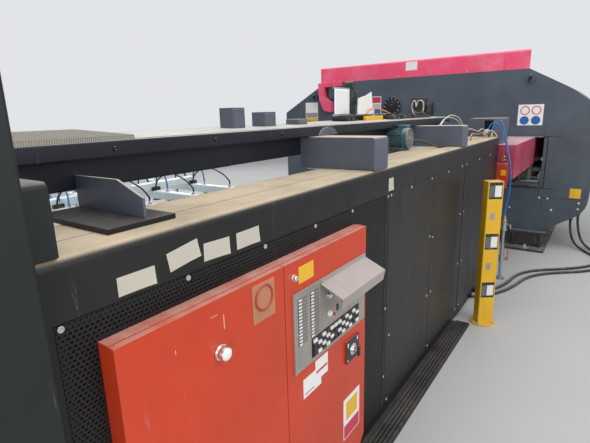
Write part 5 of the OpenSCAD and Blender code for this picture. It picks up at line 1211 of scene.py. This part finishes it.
def addFramePlates():
    plan = framePlan
    face, away = plan["face"], (-1, 0, 0)
    for name, y0, y1, z0, z1, thick, paint in plan["plates"]:
        dressed(slab(name, (face - thick, y0, z0), (face, y1, z1), 0.5), "frame", paint)
    y0, y1, z0, z1 = plan["cover"]
    dressed(slab("coverPlate", (face - 1.5, y0, z0), (face, y1, z1), 0.5), "frame", "white")
    rings = [ring("ring", (face - 1.5, y, z), away, 46, 5) for y, z in plan["rings"]]
    built("signRings", rings, "frame", "redPlastic")
    discs = [turned("disc", (face, y, z), (face - 2.4, y, z), 50, 40, 0.5) for y, z in plan["discs"]]
    built("signDiscs", discs, "frame", "blueField")
    heads = [(face, y, z) for y, z in plan["bolts"]]
    addBolts("legBolts", (11, 7), away, heads, "frame", "white")
    heads = [(face, y, z) for y, z in plan["coverScrews"]]
    addBolts("coverScrews", (8, 5), away, heads, "frame")
    y, z = plan["flange"]
    flange = [stack("flange", (face - 22, y, z), away, [(0, 4, 130, 128)], 56, 1),
              stack("flange", (face - 26, y, z), away, [(0, 5, 64, 60), (5, 14, 26, 24)], 40, 1)]
    built("flangeCap", flange, "frame", "beam")
    reach = plan["flangeBolts"]
    spots = [(face - 26, y + reach * math.cos(turn), z + reach * math.sin(turn))
             for turn in (math.radians(angle) for angle in range(0, 360, 30))]
    addBolts("flangeBolts", (9, 8), away, spots, "frame", "pipe")
    addLineUnit(plan)
    y0, y1, z0, z1 = plan["throat"]
    r = plan["corner"]
    edge = [(y0 + r * (1 - math.cos(t)), z1 - r * (1 - math.sin(t))) for t in (math.pi / 8 * k for k in range(5))]
    loop = edge + [(y0 + y1 - y, z) for y, z in reversed(edge)]
    loop += [(y, z0 + z1 - z) for y, z in reversed(loop)]
    for side, x in (("throatTrimNear", face), ("throatTrimFar", -face)):
        ringLine = [(x, y, z) for y, z in loop + loop[:1]]
        dressed(tube(side, ringLine, 20, 2), "frame", "brush", 60)
    y0, y1 = plan["brush"]
    brush = slab("roofBrush", (face - 8, y0, z1 - 9), (face - 1, y1, z1 + 4), 1.5)
    dressed(brush, "frame", "white")
    eyes = [ring("eye", (face - 44, y, z), (0, 1, 0.2), 34, 9, 32) for y, z in plan["eyes"]]
    built("liftingEyes", eyes, "frame", "beam")
    print("stage: frame plates")


# Suction frame: arms, rubber cups on sprung stems, and a hose from the arm's valve to each cup
suctionPlan = {
    "arms": [-5770, -5450, -5130, -4810, -4490], "cups": [-210, 30, 330, 570], "low": 1190, "tube": 50,
    "near": -270, "far": 630, "centre": 180, "lift": -5130, "rods": (-5170, -5090), "rodTop": 1612,
}


def addSuctionFrame():
    plan = suctionPlan
    low, near, far, centre = plan["low"], plan["near"], plan["far"], plan["centre"]
    mid, top = low + plan["tube"], low + 2 * plan["tube"]
    lift, half = plan["lift"], plan["tube"] / 2
    arms = [slab("arm", (x - half, near, low), (x + half, far, mid), 5, 3) for x in plan["arms"]]
    left, right = plan["arms"][0], plan["arms"][-1]
    arms.append(slab("arm", (left - half, centre - half, mid), (right + half, centre + half, top), 5, 3))
    arms.append(slab("arm", (lift - 120, centre - 60, top), (lift + 120, centre + 60, top + 12), 2))
    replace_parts(built("suctionArms", arms, "suction", "paleBlue"), "suction_frame")
    ends = [slab("end", (x - 20, y - 1, low + 5), (x + 20, y + 1, mid - 5), 2)
            for x in plan["arms"] for y in (near, far)]
    built("armCaps", ends, "suction", "blackPlastic")
    rods = [turned("rod", (x, centre, top + 12), (x, centre, plan["rodTop"]), 20, 32, 1.5) for x in plan["rods"]]
    rods += [stack("rod", (x, centre, top + 12), (0, 0, 1), [(0, 14, 32, 32)], 32, 2) for x in plan["rods"]]
    built("liftRods", rods, "suction", "chrome")
    spots = [(x, y, low) for x in plan["arms"] for y in plan["cups"]]
    bellows = [(0, 4, 35, 33), (4, 12, 33, 20), (12, 20, 21, 27), (20, 28, 27, 17), (28, 35, 18, 14)]
    cup = stack("cup", (0, 0, -105), (0, 0, 1), bellows, 24, 1)
    dressed(spread(cup, "suctionCups", spots), "suction", "cable")
    steps = [(0, 66, 8, 8), (8, 18, 13, 13), (60, 70, 14, 14), (120, 132, 13, 13), (132, 142, 7, 7)]
    stem = stack("stem", (0, 0, -70), (0, 0, 1), steps, 16, 0.6)
    dressed(spread(stem, "cupStems", spots), "suction", "chrome")
    for k, (name, paint, side) in enumerate((("cupHosesA", "cable", -14), ("cupHosesB", "hose", 14))):
        # One colour goes to every other cup; share is how far along the way from the valve to the cup
        runs = []
        for x in plan["arms"]:
            for y in plan["cups"][k::2]:
                arc = [(side, share, rise) for share, rise in ((0.12, 4), (0.2, 70), (0.5, 125))]
                arc.append((side * 0.6, 0.85, 90))
                route = [(x + shift, centre + (y - centre) * share, mid + rise) for shift, share, rise in arc]
                runs.append(tube("run", route + [(x, y, mid + 40), (x, y, mid + 20)], 10, 4))
        built(name, runs, "suction", paint, 60)
    blocks = [slab("block", (x - 30, centre - 44, mid - 1), (x + 30, centre - 26, mid + 24), 3)
              for x in plan["arms"]]
    built("armValves", blocks, "suction", "blackPlastic")
    print("stage: suction frame")


# Drive motor of the loader: fan end with a spoked grille, ribbed body and terminal box
motorPlan = {"place": (-3670, 1520), "front": -1145, "back": -980, "ribs": 22, "spokes": 12}


def addDriveMotor():
    plan = motorPlan
    (x, z), front, back = plan["place"], plan["front"], plan["back"]
    away = (0, 1, 0)
    casing = [(8, 16, 69, 70), (16, 46, 70, 68), (46, 150, 58, 58), (150, back - front, 50, 50)]
    body = [stack("motor", (x, front, z), away, casing, 48, 1.5)]
    for i in range(plan["ribs"]):
        turn = 2 * math.pi * i / plan["ribs"]
        body.append(swung(slab("rib", (-1.6, front + 50, 54), (1.6, front + 146, 66), 0.8), x, z, turn))
    body.append(slab("terminal", (x + 20, front + 36, z + 50), (x + 90, front + 110, z + 88), 5, 3))
    body.append(slab("foot", (x - 52, front + 26, beamPlan["low"]), (x + 52, front + 40, z - 48), 2))
    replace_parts(built("motorBody", body, "frame", "teal"), "drive_motor")
    grille = [ring("grille", (x, front + 7, z), away, radius, 2.6, 40) for radius in (66, 50, 34, 18)]
    for i in range(plan["spokes"]):
        turn = 2 * math.pi * i / plan["spokes"]
        grille.append(swung(slab("spoke", (-2, front + 4, 14), (2, front + 8, 66), 0.8), x, z, turn))
    grille.append(stack("grille", (x, front + 8, z), (0, -1, 0), [(0, 5, 13, 11)], 24, 0.8))
    built("fanGrille", grille, "frame", "panel")
    shadow = stack("fanShadow", (x, front + 8.5, z), (0, -1, 0), [(0, 1.5, 65, 65)], 40, 0.3)
    dressed(shadow, "frame", "dark")
    print("stage: drive motor")


# Sheet carriage: end box with its switches and plate, drive below the near end, straps, screws and sockets
carriagePlan = {
    "end": -1920, "switches": (-1435, (1202, 1232, 1262)), "boxTop": 1180,
    "front": -1540, "back": -1074, "half": 1920,
    "joints": (-640, 640), "low": 1034, "top": 1360, "label": (-1478, -1430, 1064, 1118),
    "drive": (-960, -1400, 905), "driveTop": 1036, "links": 8, "linkStep": 44, "box": (-1810, -1490, -1400),
    "lid": (-1802, -1384, -1302, 1368, 1602),
    "socket": (-1680, -1255, 1540), "socketPlate": (-1292, -1214, 1494, 1586),
}


def addUnderDrive(plan):
    # Ball screw drive, drag chain and lines below the near end of the carriage
    (x, y, z), top = plan["drive"], plan["driveTop"]
    motor = [(0, 150, 52, 52), (150, 168, 60, 60), (168, 230, 44, 44)]
    parts = [stack("drive", (x, y, z), (1, 0, 0), motor, 36, 3)]
    parts += [slab("drive", (x - 50, y - 80, z + 55), (x + 300, y + 70, top), 6),
              slab("drive", (x + 60, y - 55, z - 55), (x + 160, y + 55, z + 60), 5),
              slab("drive", (x + 240, y - 100, z - 55), (x + 320, y + 200, top), 6)]
    parts += [slab("link", (start, y - 120, top - 46), (start + 34, y - 86, top - 2), 5)
              for start in (x - 40 + plan["linkStep"] * i for i in range(plan["links"]))]
    parts += [tube("line", [(x - 50, y - 40 + 30 * k, z + 95), (x - 90, y - 40 + 30 * k, z + 55 - 12 * k),
                            (x - 40, y - 40 + 30 * k, z - 15 - 10 * k), (x + 60, y - 30 + 30 * k, z - 37 - 8 * k),
                            (x + 200, y - 20 + 20 * k, z - 25), (x + 260, y, z + 25)], 16) for k in range(3)]
    built("underDrive", parts, "carriage", "blackPlastic")
    nuts = [(x - 51, y + side, z + rise) for side in (-62, 52) for rise in (69, 117)]
    nuts += [(x - 1, y + side, z + rise) for side in (-36, 36) for rise in (-35, 35)]
    addBolts("driveBolts", (8, 6), (-1, 0, 0), nuts, "carriage")


def addCarriagePieces():
    plan = carriagePlan
    end, away = plan["end"], (-1, 0, 0)
    low, high = (Vector(corner) * 1000 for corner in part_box("end_control_box"))
    x0, x1, top = low.x, high.x, plan["boxTop"]
    case = [slab("endBox", (x0, low.y, low.z), (x1, high.y, top), 4, 3),
            slab("endBox", (x0 - 2, low.y + 8, low.z + 8), (x0 + 2, high.y - 8, top - 8), 1.4)]
    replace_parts(built("endBox", case, "carriage", "orange"), "end_control_box")
    corners = [(x0 - 2, y, z) for y in (low.y + 18, high.y - 18) for z in (low.z + 18, top - 18)]
    addBolts("endBoxScrews", (5, 3), away, corners, "carriage")
    y0, y1, z0, z1 = plan["label"]
    dressed(slab("endPlate", (x0 - 3, y0, z0), (x0 - 2, y1, z1), 0.4), "carriage", "yellow")
    y, zs = plan["switches"]
    keys = [slab("key", (end - 5, y - 19, zs[0] - 20), (end, y + 19, zs[-1] + 20), 1.5, 3)]
    keys += [stack("key", (end, y, z), away, [(4, 10, 13, 13), (10, 24, 9, 7)], 24) for z in zs]
    keys.append(stack("key", (x1 - 18, high.y - 60, low.z), (0, 0, -1), [(0, 12, 14, 14), (12, 40, 11, 8)], 20))
    built("endSwitches", keys, "carriage", "blackPlastic")
    caps = [slab("cap", (end - 6.5, y + s, z - 8), (end - 4, y + s + 8, z + 8), 0.8)
            for z in (zs[0] + 15, zs[1] + 15) for s in (-16, 8)]
    built("endSwitchCaps", caps, "carriage", "white")
    addUnderDrive(plan)
    front, back, half, high = plan["front"], plan["back"], plan["half"], plan["top"]
    straps = [slab("strap", (x - 14, front - 1.6, plan["low"]), (x + 14, front, high - 14), 0.6)
              for x in plan["joints"]]
    straps += [slab("strap", (x - 14, front + 14, high), (x + 14, back, high + 1.6), 0.6) for x in plan["joints"]]
    built("coverStraps", straps, "carriage", "carriageRed")
    row = [(x, front, plan["low"] + 18) for x in range(-half + 60, half, 310)]
    addBolts("coverRowScrews", (6, 3), (0, -1, 0), row, "carriage")
    row = [(x, y, high) for x in range(-half + 60, half, 620) for y in (front + 24, back - 10)]
    bx0, bx1, by = plan["box"]
    row = [place for place in row if not (bx0 < place[0] < bx1 and place[1] > by)]
    addBolts("coverTopScrews", (6, 3), (0, 0, 1), row, "carriage")
    x, y, z = plan["socket"]
    y0, y1, z0, z1 = plan["socketPlate"]
    sockets = [stack("socket", (x, y, z), away, [(0, 10, 26, 26), (10, 34, 20, 18)], 24),
               slab("socket", (x - 4, y0, z0), (x + 1, y1, z1), 1)]
    built("boxSockets", sockets, "carriage", "blackPlastic")
    x, y0, y1, z0, z1 = plan["lid"]
    dressed(slab("boxLid", (x, y0, z0), (x + 2, y1, z1), 1), "carriage", "block")
    row = [(x, y, z) for y in (y0 + 10, y1 - 10) for z in (z0 + 12, z1 - 12)]
    addBolts("boxScrews", (5, 3), away, row, "carriage")
    print("stage: carriage")


addPostDetails()
addFramePlates()
addSuctionFrame()
addDriveMotor()
addCarriagePieces()

# Inside the cabinet: a zinc plate with rows of relays, slotted wire ducts and a row of terminals
insidePlan = {
    "back": -1212, "x0": -6095, "x1": -5030, "low": 240, "high": 1175, "unitX": -6065, "unitStep": 95, "count": 10,
    "rows": [(310, "blackPlastic", "legend"), (500, "loaderGrey", "blackPlastic"), (690, "paleHose", "blackPlastic"),
             (880, "blackPlastic", "paleHose")],
    "ducts": [434, 624, 814, 1004], "ductHigh": 52, "teeth": (106, 10), "clips": (160, 6.4), "wireStep": 72,
    "gaskets": [("gasketLeft", "left_door", -6130, -5584.5), ("gasketRight", "right_door", -5531.5, -4995)],
    "gasketZ": (240, 1205), "gasketY": (-1447, -1431), "controls": (-5470, -5040, 846, 1098), "plugs": (6, 68),
}


def addCabinetInside():
    plan = insidePlan
    back, x0, x1 = plan["back"], plan["x0"], plan["x1"]
    mount = slab("mountPlate", (x0, back - 1.2, plan["low"]), (x1, back + 4, plan["high"]), 0.5)
    dressed(mount, "frame", "zinc")
    x = plan["unitX"]
    for k, (z, body, cap) in enumerate(plan["rows"]):
        unit = [slab("unit", (x - 1.5, back - 72, z - 1.5), (x + 81.5, back - 1, z + 111.5), 2),
                slab("unit", (x + 6, back - 84, z + 24), (x + 74, back - 70, z + 86), 2)]
        unit += [slab("unit", (left, back - 76, low), (left + 18, back - 70, low + 14), 1)
                 for left in (x + 8, x + 31, x + 54) for low in (z + 3, z + 93)]
        caps = [slab("cap", (x + 18, back - 88, z + 40), (x + 62, back - 83, z + 70), 1.5)]
        for name, parts, paint in (("cabinetUnits", unit, body), ("cabinetCaps", caps, cap)):
            row = repeated(gathered(name + str(k + 1), parts), plan["count"], (plan["unitStep"], 0, 0))
            dressed(row, "frame", paint)
    ducts, tall = [], plan["ductHigh"]
    count, step = plan["teeth"]
    for z in plan["ducts"]:
        ducts.append(slab("duct", (x0 + 6, back - 52, z), (x1 - 6, back - 50, z + tall), 0.5))
        for low in (z, z + tall - 2):
            tooth = slab("tooth", (x0 + 8, back - 51, low), (x0 + 14, back - 1, low + 2))
            ducts.append(repeated(tooth, count, (step, 0, 0)))
    built("wireDucts", ducts, "frame", "panel")
    low = plan["low"]
    clip = [slab("clip", (x0 + 20, back - 44, low + 16), (x0 + 25, back - 1, low + 58), 0.6),
            slab("clip", (x0 + 21, back - 47, low + 22), (x0 + 24, back - 42, low + 30))]
    count, step = plan["clips"]
    dressed(repeated(gathered("terminals", clip), count, (step, 0, 0)), "frame", "paleHose")
    wires = [tube("wire", [(x, back - 40, low + 16), (x + 2, back - 46, low - 5), (x + 6, back - 44, low - 35),
                           (x + 5, back - 30, low - 68)], 9, 4) for x in range(x0 + 60, x1 - 60, plan["wireStep"])]
    built("cabinetWires", wires, "frame", "cable", 60)
    (y0, y1), (low, high) = plan["gasketY"], plan["gasketZ"]
    for name, body, a, b in plan["gaskets"]:
        seals = [slab("seal", corner, far, 2) for corner, far in (
            ((a, y0, low), (a + 10, y1, high)), ((b - 10, y0, low), (b, y1, high)),
            ((a + 10, y0, low), (b - 10, y1, low + 10)), ((a + 10, y0, high - 10), (b - 10, y1, high)))]
        built(name, seals, body, "blackPlastic")
    a, b, low, high = plan["controls"]
    count, step = plan["plugs"]
    parts = [slab("controlsBack", (a, y0, low), (b, y0 + 34, high), 3, 3)]
    parts += [slab("controlsBack", (left, y0 + 30, low + 24), (left + 54, y0 + 46, low + 70), 2)
              for left in (a + 20 + step * i for i in range(count))]
    built("controlsBack", parts, "right_door", "panel")
    print("stage: cabinet inside")


# Sheet metal on the sides that stand away from the photograph: bolted covers, pressed louvres and grips.
# A face is its axis, the way it looks and its place; u and v run along the other two axes in order
sidePlan = {
    "loaderBack": {"face": (1, 1, -1100), "body": "frame", "paint": "black", "slot": "box_black",
                   "covers": [(x, x + 1082, 40, 1296) for x in (-6326, -5240, -4154, -3068)],
                   "louvres": [(-6120, 240, 8, 260), (-3420, 240, 8, 260), (-2600, 930, 6, 300)]},
    "loaderLeft": {"face": (0, -1, -6330), "body": "frame", "paint": "black", "slot": "box_black",
                   "covers": [(-1330, -1108, 130, 1290)], "louvres": [(-1219, 980, 7, 150), (-1219, 250, 7, 150)]},
    "loaderRight": {"face": (0, 1, -1970), "body": "frame", "paint": "black", "slot": "box_black",
                    "covers": [(-1322, -1108, 130, 1290)], "louvres": [(-1215, 1000, 7, 150)]},
    "frameFar": {"face": (0, 1, 600), "body": "frame", "paint": "frame", "slot": "frame_paint",
                 "covers": [(-2075, -1765, 660, 1480), (1785, 2065, 660, 1480), (-1180, -330, 1480, 2060),
                            (520, 1280, 1480, 2060), (-1200, 1200, 330, 640)],
                 "louvres": [(-1920, 760, 8, 200), (1925, 760, 8, 180), (900, 1560, 10, 420), (-755, 400, 6, 420)]},
    "frameLeft": {"face": (1, 1, 2125), "body": "frame", "paint": "frame", "slot": "frame_paint", "grips": False,
                  "covers": [(-470, 470, 790, 1560)], "louvres": [(-220, 860, 10, 320), (220, 860, 10, 320)]},
    "frameRight": {"face": (1, -1, -2150), "body": "frame", "paint": "frame", "slot": "frame_paint",
                   "covers": [(-480, 480, 720, 1560)], "louvres": [(-240, 820, 10, 320), (240, 820, 10, 320)]},
}


def onFace(face, u, v, out):
    axis, side, place = face
    spot = [u, v]
    spot.insert(axis, place + side * out)
    return tuple(spot)


sheetPlan = {"thick": 2.5, "margin": 16, "pitch": (380, 400), "bolt": (7, 4), "slatStep": 34, "gripOver": 500}


def faceSlab(name, face, across, up, out, edge=0.0):
    # A slab on a face; each size is a pair: from, to
    ends = [onFace(face, across[k], up[k], out[k]) for k in (0, 1)]
    return slab(name, [min(pair) for pair in zip(*ends)], [max(pair) for pair in zip(*ends)], edge)


def pressedLouvre(face, length):
    # A pressed slat that stands out at its lower edge and runs back into the sheet above
    axis, side = face[:2]
    piece = faceSlab("louvre", (axis, side, 0), (-length / 2, length / 2), (-10, 10), (0, 9))
    for vertex in piece.data.vertices:
        if vertex.co.z > 0:
            vertex.co[axis] *= 0.08
    return softEdges(piece, 1.6, 2)


def coverBolts(face, u0, u1, v0, v1):
    # Places round the edge of one bolted cover
    margin, (wide, tall), thick = sheetPlan["margin"], sheetPlan["pitch"], sheetPlan["thick"]
    across, along = max(2, round((u1 - u0) / wide) + 1), max(2, round((v1 - v0) / tall) + 1)
    return [onFace(face, u0 + margin + (u1 - u0 - 2 * margin) * i / (across - 1),
                   v0 + margin + (v1 - v0 - 2 * margin) * j / (along - 1), thick)
            for i in range(across) for j in range(along) if i in (0, across - 1) or j in (0, along - 1)]


def addSide(name, plan):
    face, body, paint, slotName = (plan[key] for key in ("face", "body", "paint", "slot"))
    away = onFace((face[0], face[1], 0), 0, 0, 1)
    thick, step = sheetPlan["thick"], sheetPlan["slatStep"]
    plates, heads, grips = [], [], []
    for u0, u1, v0, v1 in plan["covers"]:
        plates.append(faceSlab("plate", face, (u0, u1), (v0, v1), (0, thick), 1.2))
        heads += coverBolts(face, u0, u1, v0, v1)
        if v1 - v0 > sheetPlan["gripOver"] and plan.get("grips", True):
            v = v0 + (v1 - v0) * 0.86
            for u in ((u0 * 0.8 + u1 * 0.2), (u0 * 0.2 + u1 * 0.8)):
                bow = [(-55, 2), (-55, 26), (-40, 36), (40, 36), (55, 26), (55, 2)]
                grips.append(tube("grip", [onFace(face, u + shift, v, out) for shift, out in bow], 11, 4))
    built(name + "Covers", plates, body, paint)
    addBolts(name + "Screws", sheetPlan["bolt"], away, heads, body)
    if grips:
        built(name + "Grips", grips, body, "blackPlastic", 60)
    slats, slotShades = [], []
    for u, v, count, length in plan["louvres"]:
        unit = pressedLouvre(face, length)
        slats += [copied(unit, "slat", onFace(face, u, v + step * i, thick)) for i in range(count)]
        bpy.data.objects.remove(unit)
        # Near-black strips along the lower edge of each slat: painted shade for the open slot under it
        reach = length / 2 - 4
        for low in (v + step * i - 14 for i in range(count)):
            slotShades.append(faceSlab("gap", face, (u - reach, u + reach), (low, low + 4.5), (2, 3.1)))
    built(name + "Louvres", slats, body, paint)
    built(name + "Slots", slotShades, body, "dark")
    print("stage: side", name)


# Top covers: three bent sheets. Their right end runs back at the far side, out of the photograph's view
coverPlan = {
    "runs": [(-1410, -1137), (-1133, 1178), (1182, 1460)], "back": 166, "half": 600, "low": 2150, "high": 2370,
    "round": 30, "sheet": 4, "edge": 1.2,
}


def coverProfile(inset, rise=0):
    # Outline across a cover, inset from its outer face; its lower ends are rise above the cover's
    plan = coverPlan
    half, high, bend = plan["half"] - inset, plan["high"] - inset, plan["round"] - inset
    turns = [k * math.pi / 12 for k in range(7)]
    side = [(half - bend + bend * math.sin(t), high - bend + bend * math.cos(t)) for t in turns]
    side.append((half, plan["low"] + rise))
    return [(-x, z) for x, z in reversed(side)] + side


def addTopCovers():
    plan = coverPlan
    sheet, runs = plan["sheet"], plan["runs"]
    bent = coverProfile(0) + coverProfile(sheet)[::-1]
    lap = coverProfile(sheet + 0.3, 6) + coverProfile(sheet + 3, 6)[::-1]
    parts = [outlined("sheet", bent, "y", y0, y1) for y0, y1 in runs]
    parts += [outlined("lap", lap, "y", one[1] - 16, two[0] + 16) for one, two in zip(runs, runs[1:])]
    ends = (runs[0][0] + 1, runs[-1][1] - 1 - sheet)
    parts += [outlined("end", coverProfile(1, 2), "y", y, y + sheet) for y in ends]
    for piece in parts:
        for vertex in piece.data.vertices:
            if vertex.co.y * 1000 < runs[0][0] + 2 + sheet:
                vertex.co.y += plan["back"] / 1000 * (vertex.co.x * 1000 / plan["half"] + 1) / 2
    covers = softEdges(gathered("topCovers", parts), plan["edge"], 2, 40)
    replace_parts(dressed(covers, "frame", "coverRed"), "top_covers")
    print("stage: top covers")


# Brush tables: plates, welded rims and rows of bristle tufts
tablePlan = {
    "side": {"x0": 650, "x1": 1850, "y0": -1110, "y1": 160, "pitch": 170}, "z": 970, "tuft": 7, "step": 12,
    "sheet": 15, "rim": (40, 75), "pads": (30, 120, 119.7), "arms": (60, 300, 200, 70),
    "half": 380, "front": -1640, "back": 1690, "turret": (830, 475), "centrePitch": 85,
    "screws": ((-366, 366), range(-1600, 400, 260)),
}


def tuftRow(x, y0, y1):
    plan = tablePlan
    z, r, step = plan["z"], plan["tuft"], plan["step"]
    tuft = turned("tuft", (x, y0 + r, z), (x, y0 + r, z + 19), r, 6, 0, r * 0.72)
    repeated(tuft, max(1, int((y1 - y0 - 2 * r) // step) + 1), (0, step, 0))
    strip = slab("strip", (x - 10, y0, z), (x + 10, y1, z + 4), 1)
    return [tuft, strip]


def sideTable(s):
    # Plate, rim, ribs, pads and arms of one side table; s is -1 for the near one and 1 for the far one
    plan = tablePlan
    side, z = plan["side"], plan["z"]
    x0, x1, y0, y1 = (side[key] for key in ("x0", "x1", "y0", "y1"))
    below, (rim, deep) = z - plan["sheet"], plan["rim"]
    padX, padY, padDeep = plan["pads"]
    armX, reach, post, rise = plan["arms"]
    parts = [(x0, x1, y0, y1, below, z, 1.5)]
    for a, b, c, d in ((x0, x1, y0, y0 + rim), (x0, x1, y1 - rim, y1), (x0, x0 + rim, y0 + rim, y1 - rim),
                       (x1 - rim, x1, y0 + rim, y1 - rim)):
        parts.append((a, b, c, d, z - deep, below, 2))
    for share in (1 / 3, 2 / 3):
        y = y0 + (y1 - y0) * share
        parts.append((x0 + rim, x1 - rim, y - 20, y + 20, z - 60, below, 2))
    for y in (y0 + padY, y1 - 2 * padY):
        parts.append((x0, x0 + padX, y, y + padY, z - padDeep, z - deep, 2))
    for x in (x0 + 150, x1 - 210):
        parts.append((x, x + armX, y0 - reach, y0, z - deep, below, 2))
        parts.append((x, x + armX, y0 - reach, y0 - post, below, z + rise, 2))
    return [slab("table", (min(s * a, s * b), c, low), (max(s * a, s * b), d, high), edge)
            for a, b, c, d, low, high, edge in parts]


def addTables():
    plan = tablePlan
    side, z = plan["side"], plan["z"]
    x0, x1, y0, y1 = (side[key] for key in ("x0", "x1", "y0", "y1"))
    steel, brushes, heads = [], [], []
    for s in (-1, 1):
        steel += sideTable(s)
        for i in range(int((x1 - x0 - 60) // side["pitch"]) + 1):
            brushes += tuftRow(s * (x0 + 40 + i * side["pitch"]), y0 + 160, y1 - 20)
        heads += [(s * x, y, z) for x in range(x0 + 20, x1, 290) for y in (y0 + 20, y1 - 20)]
    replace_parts(built("sideTablePlates", steel, "carriage", "table"), "side_tables")
    built("sideBrushes", brushes, "carriage", "brush")
    up = (0, 0, 1)
    addBolts("sideTableScrews", (7, 2.5), up, heads, "carriage")
    brushes, (turretY, gap) = [], plan["turret"]
    count = (plan["half"] - 30) // plan["centrePitch"]
    for i in range(-count, count + 1):
        # Each row stops short of the round opening for the turret
        x = i * plan["centrePitch"]
        reach = math.sqrt(gap ** 2 - (abs(x) + 10) ** 2) + 15
        brushes += tuftRow(x, plan["front"] + 20, turretY - reach) + tuftRow(x, turretY + reach, plan["back"] - 20)
    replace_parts(built("centreBrushes", brushes, "frame", "brush"), "brush_strips")
    columns, rows = plan["screws"]
    addBolts("tableScrews", (6, 2), up, [(x, y, z) for x in columns for y in rows], "frame")
    print("stage: tables")


# Small fittings: floor anchors, turret marks, pipe fittings, gauge, cable boots, seam strips and trolley drive
fittingPlan = {
    "anchors": [(x, y) for x in (-775, 775) for y in (-1565, 1565)], "footTop": 25,
    "stations": 20, "turret": (830, 460), "upper": 1095, "lower": 932,
    "hoseTop": (-2010, -1330, 1438), "riser": (-1945, -1500), "gauge": (-1945, -1531, 555),
    "boots": [(-300, -1990, 352), (-200, -2060, 402)], "trolley": (-5130, -616, 1510),
    "seams": [(-4640, -4614), (-3174, -3160)],
}


def addFittings():
    plan = fittingPlan
    up = (0, 0, 1)
    anchors = []
    for x, y in plan["anchors"]:
        z = plan["footTop"]
        anchors += [stack("anchor", (x, y, z), up, [(0, 4, 31, 31)], 28),
                    turned("anchor", (x, y, z + 4), (x, y, z + 26), 26, 6, 1.5),
                    stack("anchor", (x, y, z + 26), up, [(0, 22, 14, 13)], 20)]
    built("floorAnchors", anchors, "frame", "zinc")
    addStationMarks(plan)
    x, y, z = plan["hoseTop"]
    rx, ry = plan["riser"]
    brass = [turned("fitting", (x, y, z), (x, y, z + 10), 17, 6, 1),
             stack("fitting", (x, y, z), up, [(10, 18, 13, 12), (18, 46, 9.5, 7.5)], 24),
             turned("fitting", (rx, ry, 600), (rx, ry, 614), 22, 6, 1.5),
             stack("fitting", (rx, ry, 600), up, [(14, 30, 18, 15), (30, 66, 10, 7.5)], 24),
             turned("fitting", (rx, ry, 508), (rx, ry, 524), 25, 6, 1.5)]
    built("hoseFittings", brass, "frame", "brass")
    addGauge(*plan["gauge"])
    boots = [turned("boot", (x, y, z), (x, y, z - 42), 22, 24, 0.8, 15.5) for x, y, z in plan["boots"]]
    boots += [ring("boot", (x, y, z - 8 - 9 * i), up, 20.6 - 1.4 * i, 1.6, 24) for x, y, z in plan["boots"]
              for i in range(3)]
    built("cableBoots", boots, "frame", "blackPlastic")
    front, low, high = loaderFront["front"], loaderFront["low"] + 1, loaderFront["high"] - 2
    strips = [slab("seam", (x0, front - 1.4, low), (x1, front, high), 0.5) for x0, x1 in plan["seams"]]
    built("seamStrips", strips, "frame", "dark")
    addTrolleyDrive(*plan["trolley"])
    print("stage: fittings")


def addStationMarks(plan):
    # One brass mark at each tool station round both turrets
    centre, radius = plan["turret"]
    for name, body, z in (("stationMarksUpper", "upper_tool_turret", plan["upper"]),
                          ("stationMarksLower", "lower_tool_turret", plan["lower"])):
        marks = []
        for i in range(plan["stations"]):
            unit = stack("mark", (0, centre - radius + 1, z + 16), (0, -1, 0), [(0, 3, 9, 8)], 16, 0.5)
            marks.append(copied(unit, "mark", (0, 0, 0), 2 * math.pi * i / plan["stations"], (0, centre, 0)))
            bpy.data.objects.remove(unit)
        built(name, marks, body, "brass")


def addGauge(x, y, z):
    # Round case, face, nine ticks over three quarters of a turn and a needle
    away = (0, -1, 0)
    case = stack("gaugeCase", (x, y + 2, z), away, [(0, 10, 8, 8), (10, 30, 26, 26), (30, 32, 26, 24)], 32)
    dressed(case, "frame", "blackPlastic")
    face = stack("gaugeFace", (x, y - 29, z), away, [(0, 1.6, 22, 22)], 32, 0.3)
    dressed(face, "frame", "white")
    marks = [swung(slab("tick", (-0.7, y - 31.2, 15), (0.7, y - 30.4, 20)), x, z, math.radians(-135 + 33.75 * i))
             for i in range(9)]
    marks.append(swung(slab("tick", (-0.8, y - 32, -4), (0.8, y - 31, 16)), x, z, math.radians(-40)))
    built("gaugeMarks", marks, "frame", "dark")


def addTrolleyDrive(x, y, z):
    # Gearbox, motor and foot on the back plate of the loader's trolley, and the plate's bolts
    motor = [(0, 12, 42, 42), (12, 92, 37, 37), (92, 100, 40, 36)]
    drive = [slab("drive", (x - 100, y, z), (x + 100, y + 130, z + 80), 5, 3),
             stack("drive", (x + 100, y + 65, z + 40), (1, 0, 0), motor, 32, 1.5),
             slab("drive", (x - 40, y, z + 80), (x + 40, y + 60, z + 114), 4)]
    built("trolleyDrive", drive, "loader_trolley", "teal")
    low, high = z - 40, z + 115
    heads = [(x + shift, y, row) for shift in (-165, -60, 60, 165) for row in (low, high)]
    heads = [place for place in heads if abs(place[0] - x) > 110 or place[2] == high and abs(place[0] - x) > 50]
    addBolts("trolleyBolts", (8, 5), (0, 1, 0), heads, "loader_trolley")


for name, plan in sidePlan.items():
    addSide(name, plan)
addTopCovers()
addTables()
addFittings()
addCabinetInside()
